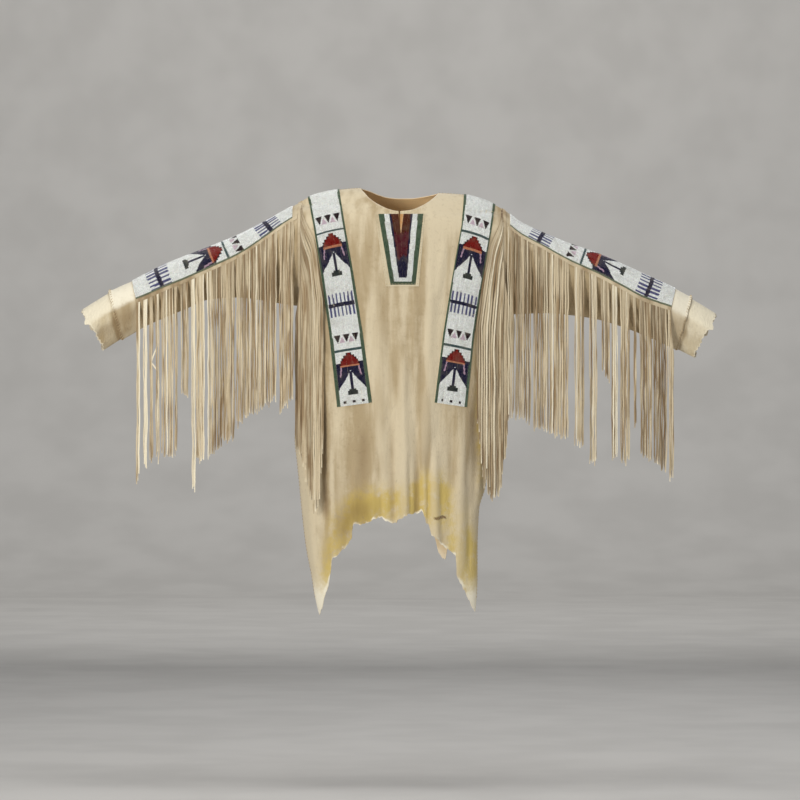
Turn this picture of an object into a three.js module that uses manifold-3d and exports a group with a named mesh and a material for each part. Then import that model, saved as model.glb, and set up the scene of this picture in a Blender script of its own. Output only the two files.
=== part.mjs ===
// A plains war shirt of soft tanned hide, worn form with no wearer: a front and a back hide joined over the
// shoulders, two sleeves with short cuffs, beaded bands over the shoulders and down the arms, a beaded bib
// at the neck slit, and long cut fringe on the arm bands and the armhole seams.
// Millimetres. +X is to the viewer's right, the front faces -Y and +Z is up. The origin is in the middle of
// the neck, level with the shoulders that hold the shirt up.
import * as THREE from "three";
import { mergeVertices } from "three/addons/utils/BufferGeometryUtils.js";
import Module from "manifold-3d";

const wasm = await Module();
wasm.setup();

// Driving dimensions
const HIDE = 2; // thickness of the hide walls
const SEAM = 0.3; // gap between pieces that are sewn together
const BEADWORK = 2.6; // a beaded band, thread and backing together
const FRINGE_BAND = 1.6; // thickness of the hide strip that a fringe is cut from
const FRINGE_BAND_WIDTH = 9;
const STRAND = { width: 3.2, narrow: 2.6, thick: 1.4, sink: 1.5, clear: 1.8 };
const SHOULDER_ROUND = 88; // how far below the shoulder line the chest reaches its full depth
const ARMHOLE_DEEP = 55; // how far the armhole opens to the front, and as far to the back
// A sleeve's section hangs fuller towards its top: lean moves its widest place up, full rounds it out
const SECTION = { lean: 0.75, full: 0.7 };
const WAVE = { rise: 3.5, length: 19, from: 0.45 }; // shallow waves in the lower half of a sleeve
const FOLD_ENDS = { start: 3, end: 6 }; // how quickly a fold comes up and dies out along its length
const BIB_TOP_Z = -62;
const BIB_FOOT_Z = -240;
const BAND_FOOT_Z = -532; // where the shoulder bands end, front and back
const SLIT = { x: 0, footX: 2, width: 11, topZ: -30, footZ: -110 }; // the neck slit, through hide and bib

// The two armholes lie in upright planes.
const ARMHOLES = {
  left: { x: -252, tipZ: -32, underZ: -285 },
  right: { x: 264, tipZ: -50, underZ: -307 },
};

// The shoulder line from one armhole to the other, with the neck in its middle stretch
const SHOULDER_LINE = [
  { x: -252, z: -32 },
  { x: -227, z: -17 },
  { x: -190, z: -5 },
  { x: -149, z: 2 },
  { x: -97, z: 6 },
  { x: 98, z: -6 },
  { x: 157, z: -10 },
  { x: 200, z: -20 },
  { x: 234, z: -34 },
  { x: 264, z: -50 },
];

// The neck opening's edge on each hide
const NECK_EDGE = [
  { x: -97, front: 6, back: 6 },
  { x: -74, front: -21, back: 0 },
  { x: -50, front: -38, back: -9 },
  { x: -26, front: -49, back: -15 },
  { x: 0, front: -54, back: -17 },
  { x: 29, front: -51, back: -17 },
  { x: 56, front: -40, back: -14 },
  { x: 80, front: -24, back: -10 },
  { x: 98, front: -6, back: -6 },
];

// The shirt's sides below the arms, down to the tips of the hide's legs
const SIDES = [
  { z: -285, left: -252, right: 264 },
  { z: -340, left: -252, right: 259 },
  { z: -520, left: -253, right: 237 },
  { z: -619, left: -259, right: 228 },
  { z: -668, left: -254, right: 222 },
  { z: -738, left: -247, right: 212 },
  { z: -792, left: -242, right: 197 },
  { z: -891, left: -230, right: 193 },
  { z: -953, left: -218, right: 193 },
  { z: -1015, left: -208, right: 191 },
  { z: -1057, left: -198, right: 187 },
];

// How deep each hide stands off the middle plane, and how round its sides are: 1 is a flat arch, 2 an oval
const DEPTHS = [
  { z: 10, front: 88, back: 72, round: 1 },
  { z: -150, front: 96, back: 80, round: 1 },
  { z: -285, front: 98, back: 84, round: 1.5 },
  { z: -400, front: 94, back: 84, round: 2 },
  { z: -700, front: 82, back: 76, round: 2 },
  { z: -820, front: 74, back: 70, round: 1.8 },
  { z: -1060, front: 46, back: 44, round: 1.5 },
];

// The front hide's guide columns: x at the top edge, at the bib's foot and at the bands' foot
const FRONT_GUIDES = [
  { col: 0, top: -252, bib: -252, foot: -253 }, // armhole and side seam
  { col: 1, top: -243, bib: -243, foot: -243 }, // fringe band's inner edge
  { col: 5, top: -227, bib: -197, foot: -158 }, // shoulder band's outer edge
  { col: 8, top: -149, bib: -114, foot: -72 }, // shoulder band's inner edge
  { col: 10, top: -97, bib: -74, foot: -56 }, // neck point
  { col: 12, top: -65, bib: -34, foot: -38 }, // bib's edge
  { col: 15, top: 0, bib: 7, foot: 0 }, // middle
  { col: 18, top: 65, bib: 48, foot: 42 }, // bib's edge
  { col: 20, top: 98, bib: 84, foot: 62 }, // neck point
  { col: 22, top: 157, bib: 124, foot: 82 }, // shoulder band's inner edge
  { col: 25, top: 234, bib: 206, foot: 167 }, // shoulder band's outer edge
  { col: 29, top: 255, bib: 255, foot: 227 }, // fringe band's inner edge
  { col: 30, top: 264, bib: 264, foot: 236 }, // armhole and side seam
];

// The front hide's lower edge, with a hide leg hanging at each side
const FRONT_HEM = [
  { col: 0, x: -198, z: -1057 },
  { col: 3, x: -175, z: -975 },
  { col: 5, x: -166, z: -911 },
  { col: 6, x: -139, z: -891 },
  { col: 7, x: -118, z: -866 },
  { col: 8, x: -116, z: -826 },
  { col: 10, x: -77, z: -820 },
  { col: 12, x: -45, z: -811 },
  { col: 13, x: -30, z: -821 },
  { col: 14, x: -12, z: -820 },
  { col: 15, x: 4, z: -812 },
  { col: 16, x: 20, z: -802 },
  { col: 18, x: 58, z: -799 },
  { col: 19, x: 67, z: -820 },
  { col: 20, x: 80, z: -850 },
  { col: 22, x: 112, z: -882 },
  { col: 23, x: 140, z: -900 },
  { col: 25, x: 142, z: -953 },
  { col: 30, x: 188, z: -1047 },
];

const BACK_GUIDES = [
  { col: 0, top: -252, bib: -252, foot: -253 },
  { col: 1, top: -243, bib: -243, foot: -243 },
  { col: 3, top: -227, bib: -197, foot: -158 },
  { col: 6, top: -149, bib: -114, foot: -72 },
  { col: 8, top: -97, bib: -74, foot: -50 },
  { col: 11, top: 0, bib: 4, foot: 4 },
  { col: 14, top: 98, bib: 84, foot: 58 },
  { col: 16, top: 157, bib: 124, foot: 82 },
  { col: 19, top: 234, bib: 206, foot: 167 },
  { col: 21, top: 255, bib: 255, foot: 227 },
  { col: 22, top: 264, bib: 264, foot: 236 },
];

// The back hide's lower edge, with a torn scrap beside the right leg
const BACK_HEM = [
  { col: 0, x: -200, z: -1040 },
  { col: 2, x: -178, z: -960 },
  { col: 3, x: -166, z: -902 },
  { col: 4, x: -144, z: -878 },
  { col: 5, x: -124, z: -848 },
  { col: 6, x: -116, z: -812 },
  { col: 8, x: -78, z: -801 },
  { col: 11, x: -4, z: -794 },
  { col: 14, x: 60, z: -790 },
  { col: 15, x: 84, z: -842 },
  { col: 16, x: 98, z: -902 },
  { col: 17, x: 114, z: -922 },
  { col: 18, x: 122, z: -884 },
  { col: 19, x: 143, z: -908 },
  { col: 20, x: 152, z: -965 },
  { col: 22, x: 189, z: -1030 },
];

// Soft folds that hang down the hides: ridges have a positive rise, troughs a negative one
const FRONT_FOLDS = [
  { fromX: -62, fromZ: -90, toX: -40, toZ: -780, width: 17, rise: 5 },
  { fromX: -24, fromZ: -500, toX: -14, toZ: -860, width: 12, rise: -9 },
  { fromX: 5, fromZ: -330, toX: 17, toZ: -860, width: 13, rise: 9 },
  { fromX: 42, fromZ: -520, toX: 43, toZ: -860, width: 11, rise: -10 },
  { fromX: 82, fromZ: -80, toX: 62, toZ: -700, width: 16, rise: 6 },
  { fromX: 88, fromZ: -600, toX: 92, toZ: -900, width: 12, rise: 8 },
  { fromX: 129, fromZ: -540, toX: 119, toZ: -920, width: 14, rise: -7 },
  { fromX: 156, fromZ: -560, toX: 152, toZ: -980, width: 13, rise: 6 },
  { fromX: 186, fromZ: -480, toX: 180, toZ: -820, width: 12, rise: -8 },
  { fromX: -193, fromZ: -470, toX: -182, toZ: -850, width: 13, rise: -9 },
  { fromX: -226, fromZ: -600, toX: -212, toZ: -1000, width: 12, rise: 5 },
  { fromX: -138, fromZ: -540, toX: -146, toZ: -920, width: 16, rise: 5 },
  { fromX: -84, fromZ: -540, toX: -92, toZ: -860, width: 16, rise: -6 },
];
const BACK_FOLDS = [
  { fromX: -40, fromZ: -60, toX: -52, toZ: -860, width: 22, rise: 6 },
  { fromX: 4, fromZ: -260, toX: 0, toZ: -860, width: 20, rise: -8 },
  { fromX: 48, fromZ: -80, toX: 60, toZ: -860, width: 22, rise: 7 },
  { fromX: -130, fromZ: -480, toX: -128, toZ: -920, width: 20, rise: -7 },
  { fromX: 130, fromZ: -480, toX: 120, toZ: -920, width: 20, rise: 6 },
  { fromX: 176, fromZ: -420, toX: 168, toZ: -960, width: 16, rise: -7 },
  { fromX: -200, fromZ: -420, toX: -190, toZ: -980, width: 16, rise: 6 },
];

// The sleeves from armhole to wrist: upper edge, lower edge, half depth, how far the arm band comes down the
// front, and how far it reaches over the top to the back
const SLEEVES = {
  left: [
    { topX: -252, topZ: -32, footX: -252, footZ: -285, deep: 55, band: 30, wrap: 22 },
    { topX: -285, topZ: -50, footX: -290, footZ: -280, deep: 54, band: 33, wrap: 22 },
    { topX: -334, topZ: -77, footX: -342, footZ: -271, deep: 52, band: 42, wrap: 19 },
    { topX: -396, topZ: -109, footX: -406, footZ: -264, deep: 49, band: 51, wrap: 15 },
    { topX: -465, topZ: -138, footX: -478, footZ: -270, deep: 46, band: 55, wrap: 13 },
    { topX: -530, topZ: -163, footX: -530, footZ: -292, deep: 43, band: 56, wrap: 12 },
    { topX: -587, topZ: -186, footX: -574, footZ: -310, deep: 40, band: 54, wrap: 12 },
    { topX: -664, topZ: -225, footX: -636, footZ: -338, deep: 37.3, band: 46, wrap: 12 },
    { topX: -690, topZ: -236, footX: -661, footZ: -353, deep: 35.6, band: 43, wrap: 12 },
    { topX: -722, topZ: -251, footX: -691, footZ: -370, deep: 34, band: 40, wrap: 12 },
  ],
  right: [
    { topX: 264, topZ: -50, footX: 264, footZ: -307, deep: 55, band: 30, wrap: 22 },
    { topX: 297, topZ: -77, footX: 304, footZ: -305, deep: 54, band: 31, wrap: 22 },
    { topX: 354, topZ: -104, footX: 359, footZ: -303, deep: 52, band: 35, wrap: 20 },
    { topX: 421, topZ: -132, footX: 426, footZ: -308, deep: 49, band: 44, wrap: 16 },
    { topX: 490, topZ: -156, footX: 490, footZ: -318, deep: 46, band: 50, wrap: 14 },
    { topX: 550, topZ: -182, footX: 545, footZ: -334, deep: 43, band: 54, wrap: 12 },
    { topX: 602, topZ: -206, footX: 587, footZ: -349, deep: 40, band: 56, wrap: 12 },
    { topX: 686, topZ: -244, footX: 652, footZ: -377, deep: 36.4, band: 47, wrap: 12 },
    { topX: 705, topZ: -254, footX: 673, footZ: -387, deep: 35.2, band: 43.5, wrap: 12 },
    { topX: 726, topZ: -265, footX: 691, footZ: -395, deep: 34, band: 40, wrap: 12 },
  ],
};
const BAND_STATIONS = 7; // the arm bands and their fringe end at this station

// The cuffs' ragged ends, and how much smaller a cuff is than the sleeve's mouth that it is sewn into
const CUFFS = {
  left: { topX: -792, topZ: -297, footX: -738, footZ: -396, deep: 36 },
  right: { topX: 790, topZ: -307, footX: 735, footZ: -414, deep: 36 },
  lap: 14,
  inset: HIDE + 1.2,
  ragged: [0, 7, -3, 5, -6, 2, 8, -2, 4, -5, 3, -4, 6, -2, 3],
};

// Fringe: strands for each arm, and for the front and the back of each armhole. Lengths in millimetres
const ARM_FRINGE = {
  strands: 40,
  drape: 30, // the drop in which a strand comes away from the band to the sleeve's front
  unevenness: 12,
  // Stretches where the strands have been worn short or have gathered, by share of the way down the arm
  left: [
    { from: 0, length: 452 },
    { from: 0.1, length: 440 },
    { from: 0.14, length: 412 },
    { from: 0.38, length: 411 },
    { from: 0.5, length: 462 },
    { from: 0.66, length: 474 },
    { from: 0.69, length: 286 },
    { from: 0.72, length: 286 },
    { from: 0.75, length: 424 },
    { from: 0.9, length: 416 },
    { from: 1, length: 446 },
  ],
  right: [
    { from: 0, length: 458 },
    { from: 0.15, length: 446 },
    { from: 0.38, length: 444 },
    { from: 0.47, length: 446 },
    { from: 0.55, length: 470 },
    { from: 0.58, length: 252 },
    { from: 0.63, length: 252 },
    { from: 0.65, length: 436 },
    { from: 0.75, length: 432 },
    { from: 0.785, length: 331 },
    { from: 0.82, length: 403 },
    { from: 1, length: 428 },
  ],
};
const ARMHOLE_FRINGE = {
  strandsIn: { front: 15, back: 11 },
  drops: [5, 30, 100], // where each strand bends, below its root
  length: 520,
  spread: 66, // how far in from the seam the highest strands hang
  unevenness: 26,
};

// Small helpers

const lerp = (a, b, t) => a + (b - a) * t;
const clamp = (v, low, high) => Math.min(high, Math.max(low, v));
const smooth = (t) => {
  const c = clamp(t, 0, 1);
  return c * c * (3 - 2 * c);
};
// A repeatable unevenness between -1 and 1 for the nth of a row of like things
const uneven = (n) => Math.sin(n * 12.9898 + 4.1) * Math.cos(n * 4.37 + 1.3);

// Reads column `want` of a table at the place where column `by` is `at`, in a straight line between rows.
function read(table, by, want, at) {
  const rising = table[table.length - 1][by] > table[0][by];
  const past = table.findIndex((row) => (rising ? row[by] >= at : row[by] <= at));
  if (past === 0) return table[0][want];
  if (past < 0) return table[table.length - 1][want];
  const a = table[past - 1];
  const b = table[past];
  return lerp(a[want], b[want], (at - a[by]) / (b[by] - a[by]));
}

// A closed solid's geometry, from corners and triangles, with its faces turned outwards
function solidGeometry(corners, triangles) {
  const volume = triangles.reduce(
    (sum, [a, b, c]) => sum + corners[a].dot(new THREE.Vector3().crossVectors(corners[b], corners[c])),
    0,
  );
  const index = triangles.flatMap(([a, b, c]) => (volume < 0 ? [a, c, b] : [a, b, c]));
  const geometry = new THREE.BufferGeometry();
  geometry.setAttribute("position", new THREE.Float32BufferAttribute(corners.flatMap((p) => p.toArray()), 3));
  geometry.setIndex(index);
  return geometry;
}

function toManifold(geometry) {
  const bare = geometry.clone();
  bare.deleteAttribute("normal");
  bare.deleteAttribute("uv");
  const merged = mergeVertices(bare, 1e-4);
  const vertProperties = merged.attributes.position.array;
  const triVerts = new Uint32Array(merged.index.array);
  return new wasm.Manifold(new wasm.Mesh({ numProp: 3, vertProperties, triVerts }));
}

function fromManifold(solid) {
  const mesh = solid.getMesh();
  const geometry = new THREE.BufferGeometry();
  geometry.setAttribute("position", new THREE.Float32BufferAttribute(mesh.vertProperties, 3));
  geometry.setIndex(Array.from(mesh.triVerts));
  return geometry;
}

// A cloth grid is rows of points, each { p, n }: its place in the middle of the wall and its outward normal.

function addNormals(grid, outward, loop) {
  const rows = grid.length;
  const cols = grid[0].length;
  const at = (r, c) => grid[clamp(r, 0, rows - 1)][loop ? (c + cols) % cols : clamp(c, 0, cols - 1)].p;
  grid.forEach((row, r) =>
    row.forEach((point, c) => {
      const across = at(r, c + 1).clone().sub(at(r, c - 1));
      const down = at(r + 1, c).clone().sub(at(r - 1, c));
      point.n = across.cross(down).normalize();
      if (point.n.dot(outward(point.p, r)) < 0) point.n.negate();
    }),
  );
}

// A wall on a grid. lift is how far its middle stands off the grid's points. Its cells are split along one
// diagonal, or along the other with flip, as a band that runs up the back has them.
function wall(grid, { thick = HIDE, lift = 0, loop = false, flip = false } = {}) {
  const rows = grid.length;
  const cols = grid[0].length;
  const corners = [];
  for (const side of [lift + thick / 2, lift - thick / 2])
    for (const row of grid) for (const { p, n } of row) corners.push(p.clone().addScaledVector(n, side));
  const outer = (r, c) => r * cols + (c % cols);
  const inner = (r, c) => rows * cols + outer(r, c);
  const triangles = [];
  const quad = (a, b, c, d) => triangles.push([a, b, c], [a, c, d]);
  const lastCol = loop ? cols : cols - 1;
  for (let r = 0; r < rows - 1; r++)
    for (let c = 0; c < lastCol; c++) {
      const cell = [[r, c], [r, c + 1], [r + 1, c + 1], [r + 1, c]];
      if (flip) cell.push(cell.shift());
      quad(...cell.map(([row, col]) => outer(row, col)));
      const [first, ...rest] = cell.map(([row, col]) => inner(row, col));
      quad(first, ...rest.reverse());
    }
  for (let c = 0; c < lastCol; c++) {
    quad(outer(0, c), inner(0, c), inner(0, c + 1), outer(0, c + 1));
    quad(outer(rows - 1, c), outer(rows - 1, c + 1), inner(rows - 1, c + 1), inner(rows - 1, c));
  }
  if (!loop)
    for (let r = 0; r < rows - 1; r++) {
      quad(outer(r, 0), outer(r + 1, 0), inner(r + 1, 0), inner(r, 0));
      quad(outer(r, cols - 1), inner(r, cols - 1), inner(r + 1, cols - 1), outer(r + 1, cols - 1));
    }
  return solidGeometry(corners, triangles);
}

// The part of a grid that another piece lies on, drawn in by half a seam along its sides
function patch(grid, fromCol, toCol, fromRow, toRow) {
  const part = grid.slice(fromRow, toRow + 1).map((row) => {
    const points = [];
    const step = fromCol <= toCol ? 1 : -1;
    for (let c = fromCol; c !== toCol + step; c += step) {
      const { p, n } = row[(c + row.length) % row.length];
      points.push({ p: p.clone(), n });
    }
    return points;
  });
  const drawIn = (edge, next) => {
    const way = next.p.clone().sub(edge.p);
    edge.p.addScaledVector(way, SEAM / Math.max(way.length(), SEAM));
  };
  for (const row of part) {
    drawIn(row[0], row[1]);
    drawIn(row[row.length - 1], row[row.length - 2]);
  }
  return part;
}

const liftFor = (thick) => HIDE / 2 + SEAM + thick / 2;

// Front and back hides

const shoulderZ = (x) => read(SHOULDER_LINE, "x", "z", x);
const inNeck = (x) => x > NECK_EDGE[0].x && x < NECK_EDGE[NECK_EDGE.length - 1].x;
const sideX = (side, z) => (z > ARMHOLES[side].underZ ? ARMHOLES[side].x : read(SIDES, "z", side, z));

// How far a sleeve or an armhole stands off the middle plane, at share h of its height
const sleeveProfile = (h) => Math.sin(Math.PI * clamp(h, 0, 1) ** SECTION.lean) ** SECTION.full;

function armholeDepth(side, z) {
  const { tipZ, underZ } = ARMHOLES[side];
  if (z <= underZ || z >= tipZ) return 0;
  return ARMHOLE_DEEP * sleeveProfile((tipZ - z) / (tipZ - underZ));
}

function foldRise(folds, x, z) {
  return folds.reduce((sum, fold) => {
    const along = (z - fold.fromZ) / (fold.toZ - fold.fromZ);
    if (along <= 0 || along >= 1) return sum;
    const off = (x - lerp(fold.fromX, fold.toX, along)) / fold.width;
    const grown = smooth(along * FOLD_ENDS.start) * smooth((1 - along) * FOLD_ENDS.end);
    return sum + fold.rise * Math.exp(-off * off) * grown;
  }, 0);
}

// How far a hide stands off the middle plane at x and z
function hideDepth(face, folds, x, z) {
  const left = sideX("left", z);
  const right = sideX("right", z);
  const across = clamp((2 * x - left - right) / (right - left), -1, 1);
  const edge = armholeDepth(across < 0 ? "left" : "right", z);
  const drop = clamp((shoulderZ(x) - z) / SHOULDER_ROUND, 0, 1);
  const full = read(DEPTHS, "z", face, z) * Math.sqrt(1 - (1 - drop) ** 2);
  const arch = (1 - across * across) ** (1 / read(DEPTHS, "z", "round", z));
  const calm = smooth((1 - Math.abs(across)) * 12); // folds die out at the side seams
  return edge + (full - edge) * arch + foldRise(folds, x, z) * calm;
}

// Shares of the way down between one level and the next: shoulder or neck, bib's top, bib's foot, underarm,
// bands' foot and hem
const ROWS_BETWEEN = [
  [0, 0.04, 0.14, 0.33, 0.62],
  [0, 0.2, 0.4, 0.6, 0.8],
  [0],
  [0, 0.2, 0.4, 0.6, 0.8],
  [0, 0.15, 0.3, 0.45, 0.6, 0.75, 0.88, 1],
];
const rowOfLevel = (level) => ROWS_BETWEEN.slice(0, level).reduce((sum, shares) => sum + shares.length, 0);
const BIB_TOP_ROW = rowOfLevel(1);
const BIB_FOOT_ROW = rowOfLevel(2);
const UNDERARM_ROW = rowOfLevel(3);
const BAND_FOOT_ROW = rowOfLevel(4);

// One column of a hide: its x and z at each level, then at each row
function hideColumn(face, guides, hem, col) {
  const [top, bib, foot] = ["top", "bib", "foot"].map((level) => read(guides, "col", level, col));
  const topZ = inNeck(top) ? read(NECK_EDGE, "x", face, top) : shoulderZ(top);
  const share = col / guides[guides.length - 1].col;
  const underZ = lerp(ARMHOLES.left.underZ, ARMHOLES.right.underZ, share);
  const downTo = (z) => (BIB_FOOT_Z - z) / (BIB_FOOT_Z - BAND_FOOT_Z);
  const levels = [
    { x: top, z: topZ },
    { x: lerp(top, bib, (topZ - BIB_TOP_Z) / (topZ - BIB_FOOT_Z)), z: BIB_TOP_Z },
    { x: bib, z: BIB_FOOT_Z },
    { x: lerp(bib, foot, downTo(underZ)), z: underZ },
    { x: foot, z: BAND_FOOT_Z },
    { x: read(hem, "col", "x", col), z: read(hem, "col", "z", col) },
  ];
  return ROWS_BETWEEN.flatMap((shares, i) => {
    const [above, below] = [levels[i], levels[i + 1]];
    return shares.map((t) => ({ x: lerp(above.x, below.x, t), z: lerp(above.z, below.z, t) }));
  });
}

const BAND_GUIDE = 2; // the shoulder bands' outer edges are the third guides in from each side

// Columns beside a side seam follow the seam's own curve, less and less towards the shoulder band.
function followSides(columns, guides) {
  const last = columns.length - 1;
  const bandLeft = guides[BAND_GUIDE].col;
  const bandRight = guides[guides.length - 1 - BAND_GUIDE].col;
  for (let row = UNDERARM_ROW; row < columns[0].length; row++) {
    const offLeft = sideX("left", columns[0][row].z) - columns[0][row].x;
    const offRight = sideX("right", columns[last][row].z) - columns[last][row].x;
    for (let col = 0; col < bandLeft; col++) columns[col][row].x += offLeft * (1 - col / bandLeft);
    for (let col = bandRight + 1; col <= last; col++)
      columns[col][row].x += (offRight * (col - bandRight)) / (last - bandRight);
  }
}

// The front's or the back's grid. Its edges are squared off, so that it meets the other hide and the sleeves
// with flat faces a seam apart.
function hideGrid(face, guides, hem, folds) {
  const sign = face === "front" ? -1 : 1;
  const last = guides[guides.length - 1].col;
  const columns = Array.from({ length: last + 1 }, (_, col) => hideColumn(face, guides, hem, col));
  followSides(columns, guides);
  const grid = columns[0].map((_, row) =>
    columns.map((column) => {
      const { x, z } = column[row];
      return { p: new THREE.Vector3(x, sign * hideDepth(face, folds, x, z), z) };
    }),
  );
  addNormals(grid, () => new THREE.Vector3(0, sign, 0.2));
  const clear = (point) => {
    point.p.y = sign * Math.max(Math.abs(point.p.y), SEAM / 2 + (HIDE / 2) * Math.abs(point.n.y));
  };
  grid.forEach((row, r) => {
    for (const edge of [row[0], row[last]]) {
      if (r < UNDERARM_ROW) edge.n.setX(0).normalize();
      if (r === UNDERARM_ROW) edge.n.set(0, sign, 0);
      if (r > UNDERARM_ROW) {
        edge.n.set(edge === row[0] ? -1 : 1, 0, 0);
        edge.p.y = 0;
      }
    }
  });
  for (const point of grid[0])
    if (!inNeck(point.p.x)) {
      point.n.set(0, 0, 1);
      point.p.y = 0;
    }
  grid.flat().forEach(clear);
  return grid;
}

const frontGrid = hideGrid("front", FRONT_GUIDES, FRONT_HEM, FRONT_FOLDS);
const backGrid = hideGrid("back", BACK_GUIDES, BACK_HEM, BACK_FOLDS);

// The wedge that opens the neck slit
function slitCutter() {
  const half = SLIT.width / 2;
  const outline = new THREE.Shape([
    new THREE.Vector2(SLIT.x - half, SLIT.topZ),
    new THREE.Vector2(SLIT.x + half, SLIT.topZ),
    new THREE.Vector2(SLIT.footX, SLIT.footZ),
  ]);
  const reach = 160;
  const geometry = new THREE.ExtrudeGeometry(outline, { depth: reach, bevelEnabled: false });
  geometry.rotateX(Math.PI / 2);
  return geometry;
}

const cutSlit = (geometry) => fromManifold(toManifold(geometry).subtract(toManifold(slitCutter())));

// Sleeves

// The points round one section of a sleeve, as shares of its height: the front from the top down, then the
// back from the bottom up. The arm band lies between the last of them and BAND_EDGE.
const BAND_EDGE = 3;
const FRINGE_EDGE = 4;
function sectionShares(station) {
  const height = Math.hypot(station.topX - station.footX, station.topZ - station.footZ);
  const band = station.band / height;
  const fringe = band + FRINGE_BAND_WIDTH / height;
  const wrapAngle = Math.asin((station.wrap / station.deep) ** (1 / SECTION.full));
  const wrap = (wrapAngle / Math.PI) ** (1 / SECTION.lean);
  const front = [0, band / 9, (band * 4) / 9, band, fringe];
  for (const t of [0.25, 0.5, 0.75]) front.push(lerp(fringe, 1, t));
  return [
    ...front.map((h) => ({ h, sign: -1 })),
    { h: 1, sign: 0 },
    ...[0.8, 0.58, 0.36, 0.18, 0.08].map((h) => ({ h: Math.max(h, wrap * 1.5), sign: 1 })),
    { h: wrap, sign: 1 },
  ];
}

// Loose hide in the lower half of a sleeve stands in shallow waves.
function sleeveWave(x, h) {
  return WAVE.rise * Math.sin(x / WAVE.length + 3 * h) * smooth((h - WAVE.from) * 3) * smooth((1 - h) * 5);
}

function sleeveSection(station, waves) {
  return sectionShares(station).map(({ h, sign }) => {
    const x = lerp(station.topX, station.footX, h);
    const depth = station.deep * sleeveProfile(h) + (waves ? sleeveWave(x, h) : 0);
    return { p: new THREE.Vector3(x, sign * depth, lerp(station.topZ, station.footZ, h)) };
  });
}

const sectionMiddle = (section) =>
  section.reduce((sum, { p }) => sum.add(p), new THREE.Vector3()).divideScalar(section.length);

function sleeveGrid(side) {
  const away = side === "left" ? -1 : 1;
  const stations = SLEEVES[side];
  const grid = stations.map((station, i) => sleeveSection(station, i > 0 && i < stations.length - 2));
  for (const point of grid[0]) point.p.x += away * SEAM;
  addNormals(grid, (p, r) => p.clone().sub(sectionMiddle(grid[r])), true);
  for (const point of grid[0]) point.n.setX(0).normalize();
  return grid;
}

// A cuff starts inside the sleeve's mouth, comes out of it and ends in a ragged edge.
function cuffGrid(side) {
  const sleeve = SLEEVES[side];
  const mouth = sleeve[sleeve.length - 1];
  const before = sleeve[sleeve.length - 2];
  const end = CUFFS[side];
  const along = new THREE.Vector3(mouth.topX - before.topX, 0, mouth.topZ - before.topZ).normalize();
  const measures = ["topX", "topZ", "footX", "footZ", "deep"];
  const midway = (a, b, t) => Object.fromEntries(measures.map((key) => [key, lerp(a[key], b[key], t)]));
  const shrink = (station, by, shift) => {
    const down = new THREE.Vector3(station.footX - station.topX, 0, station.footZ - station.topZ).normalize();
    return {
      ...mouth,
      topX: station.topX + down.x * by + along.x * shift,
      topZ: station.topZ + down.z * by + along.z * shift,
      footX: station.footX - down.x * by + along.x * shift,
      footZ: station.footZ - down.z * by + along.z * shift,
      deep: station.deep - by,
    };
  };
  const lap = CUFFS.lap / Math.hypot(mouth.topX - before.topX, mouth.topZ - before.topZ);
  const start = shrink({ ...mouth, ...midway(mouth, before, lap) }, CUFFS.inset, 0);
  const edge = shrink(mouth, CUFFS.inset, 3);
  const between = [0.35, 0.68].map((t) => ({ ...mouth, ...midway(edge, end, t) }));
  const stations = [start, edge, ...between, { ...mouth, ...end }];
  const grid = stations.map((station) => sleeveSection(station, false));
  grid[2].forEach(({ p }, i) => (p.y *= 1 - 0.1 * (i % 2)));
  grid[3].forEach(({ p }, i) => (p.y *= 1 + 0.1 * (i % 3)));
  grid[4].forEach(({ p }, i) => p.addScaledVector(along, CUFFS.ragged[i]));
  addNormals(grid, (p, r) => p.clone().sub(sectionMiddle(grid[r])), true);
  return grid;
}

const sleeveGrids = { left: sleeveGrid("left"), right: sleeveGrid("right") };

// Beaded bands and bib

// A shoulder band runs up the back, over the shoulder line and down the front in one length, between two
// neighbouring guides: the third and fourth from the left, or the same two from the right.
function shoulderBand(side) {
  const panel = (grid, guides) => {
    const first = side === "left" ? BAND_GUIDE : guides.length - 2 - BAND_GUIDE;
    return patch(grid, guides[first].col, guides[first + 1].col, 0, BAND_FOOT_ROW);
  };
  const front = panel(frontGrid, FRONT_GUIDES);
  const back = panel(backGrid, BACK_GUIDES);
  for (const point of front[0]) point.p.y = 0;
  const grid = [...back.slice(1).reverse(), ...front];
  return wall(grid, { thick: BEADWORK, lift: liftFor(BEADWORK) });
}

function armBand(side) {
  const loopSize = sleeveGrids[side][0].length;
  const grid = patch(sleeveGrids[side], loopSize - 1, BAND_EDGE + loopSize, 0, BAND_STATIONS);
  return wall(grid, { thick: BEADWORK, lift: liftFor(BEADWORK) });
}

function neckBib() {
  const [left, right] = FRONT_GUIDES.filter((guide) => Math.abs(guide.top) === 65).map((guide) => guide.col);
  const grid = patch(frontGrid, left, right, BIB_TOP_ROW, BIB_FOOT_ROW);
  return cutSlit(wall(grid, { thick: BEADWORK, lift: liftFor(BEADWORK) }));
}

// Fringe

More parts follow.
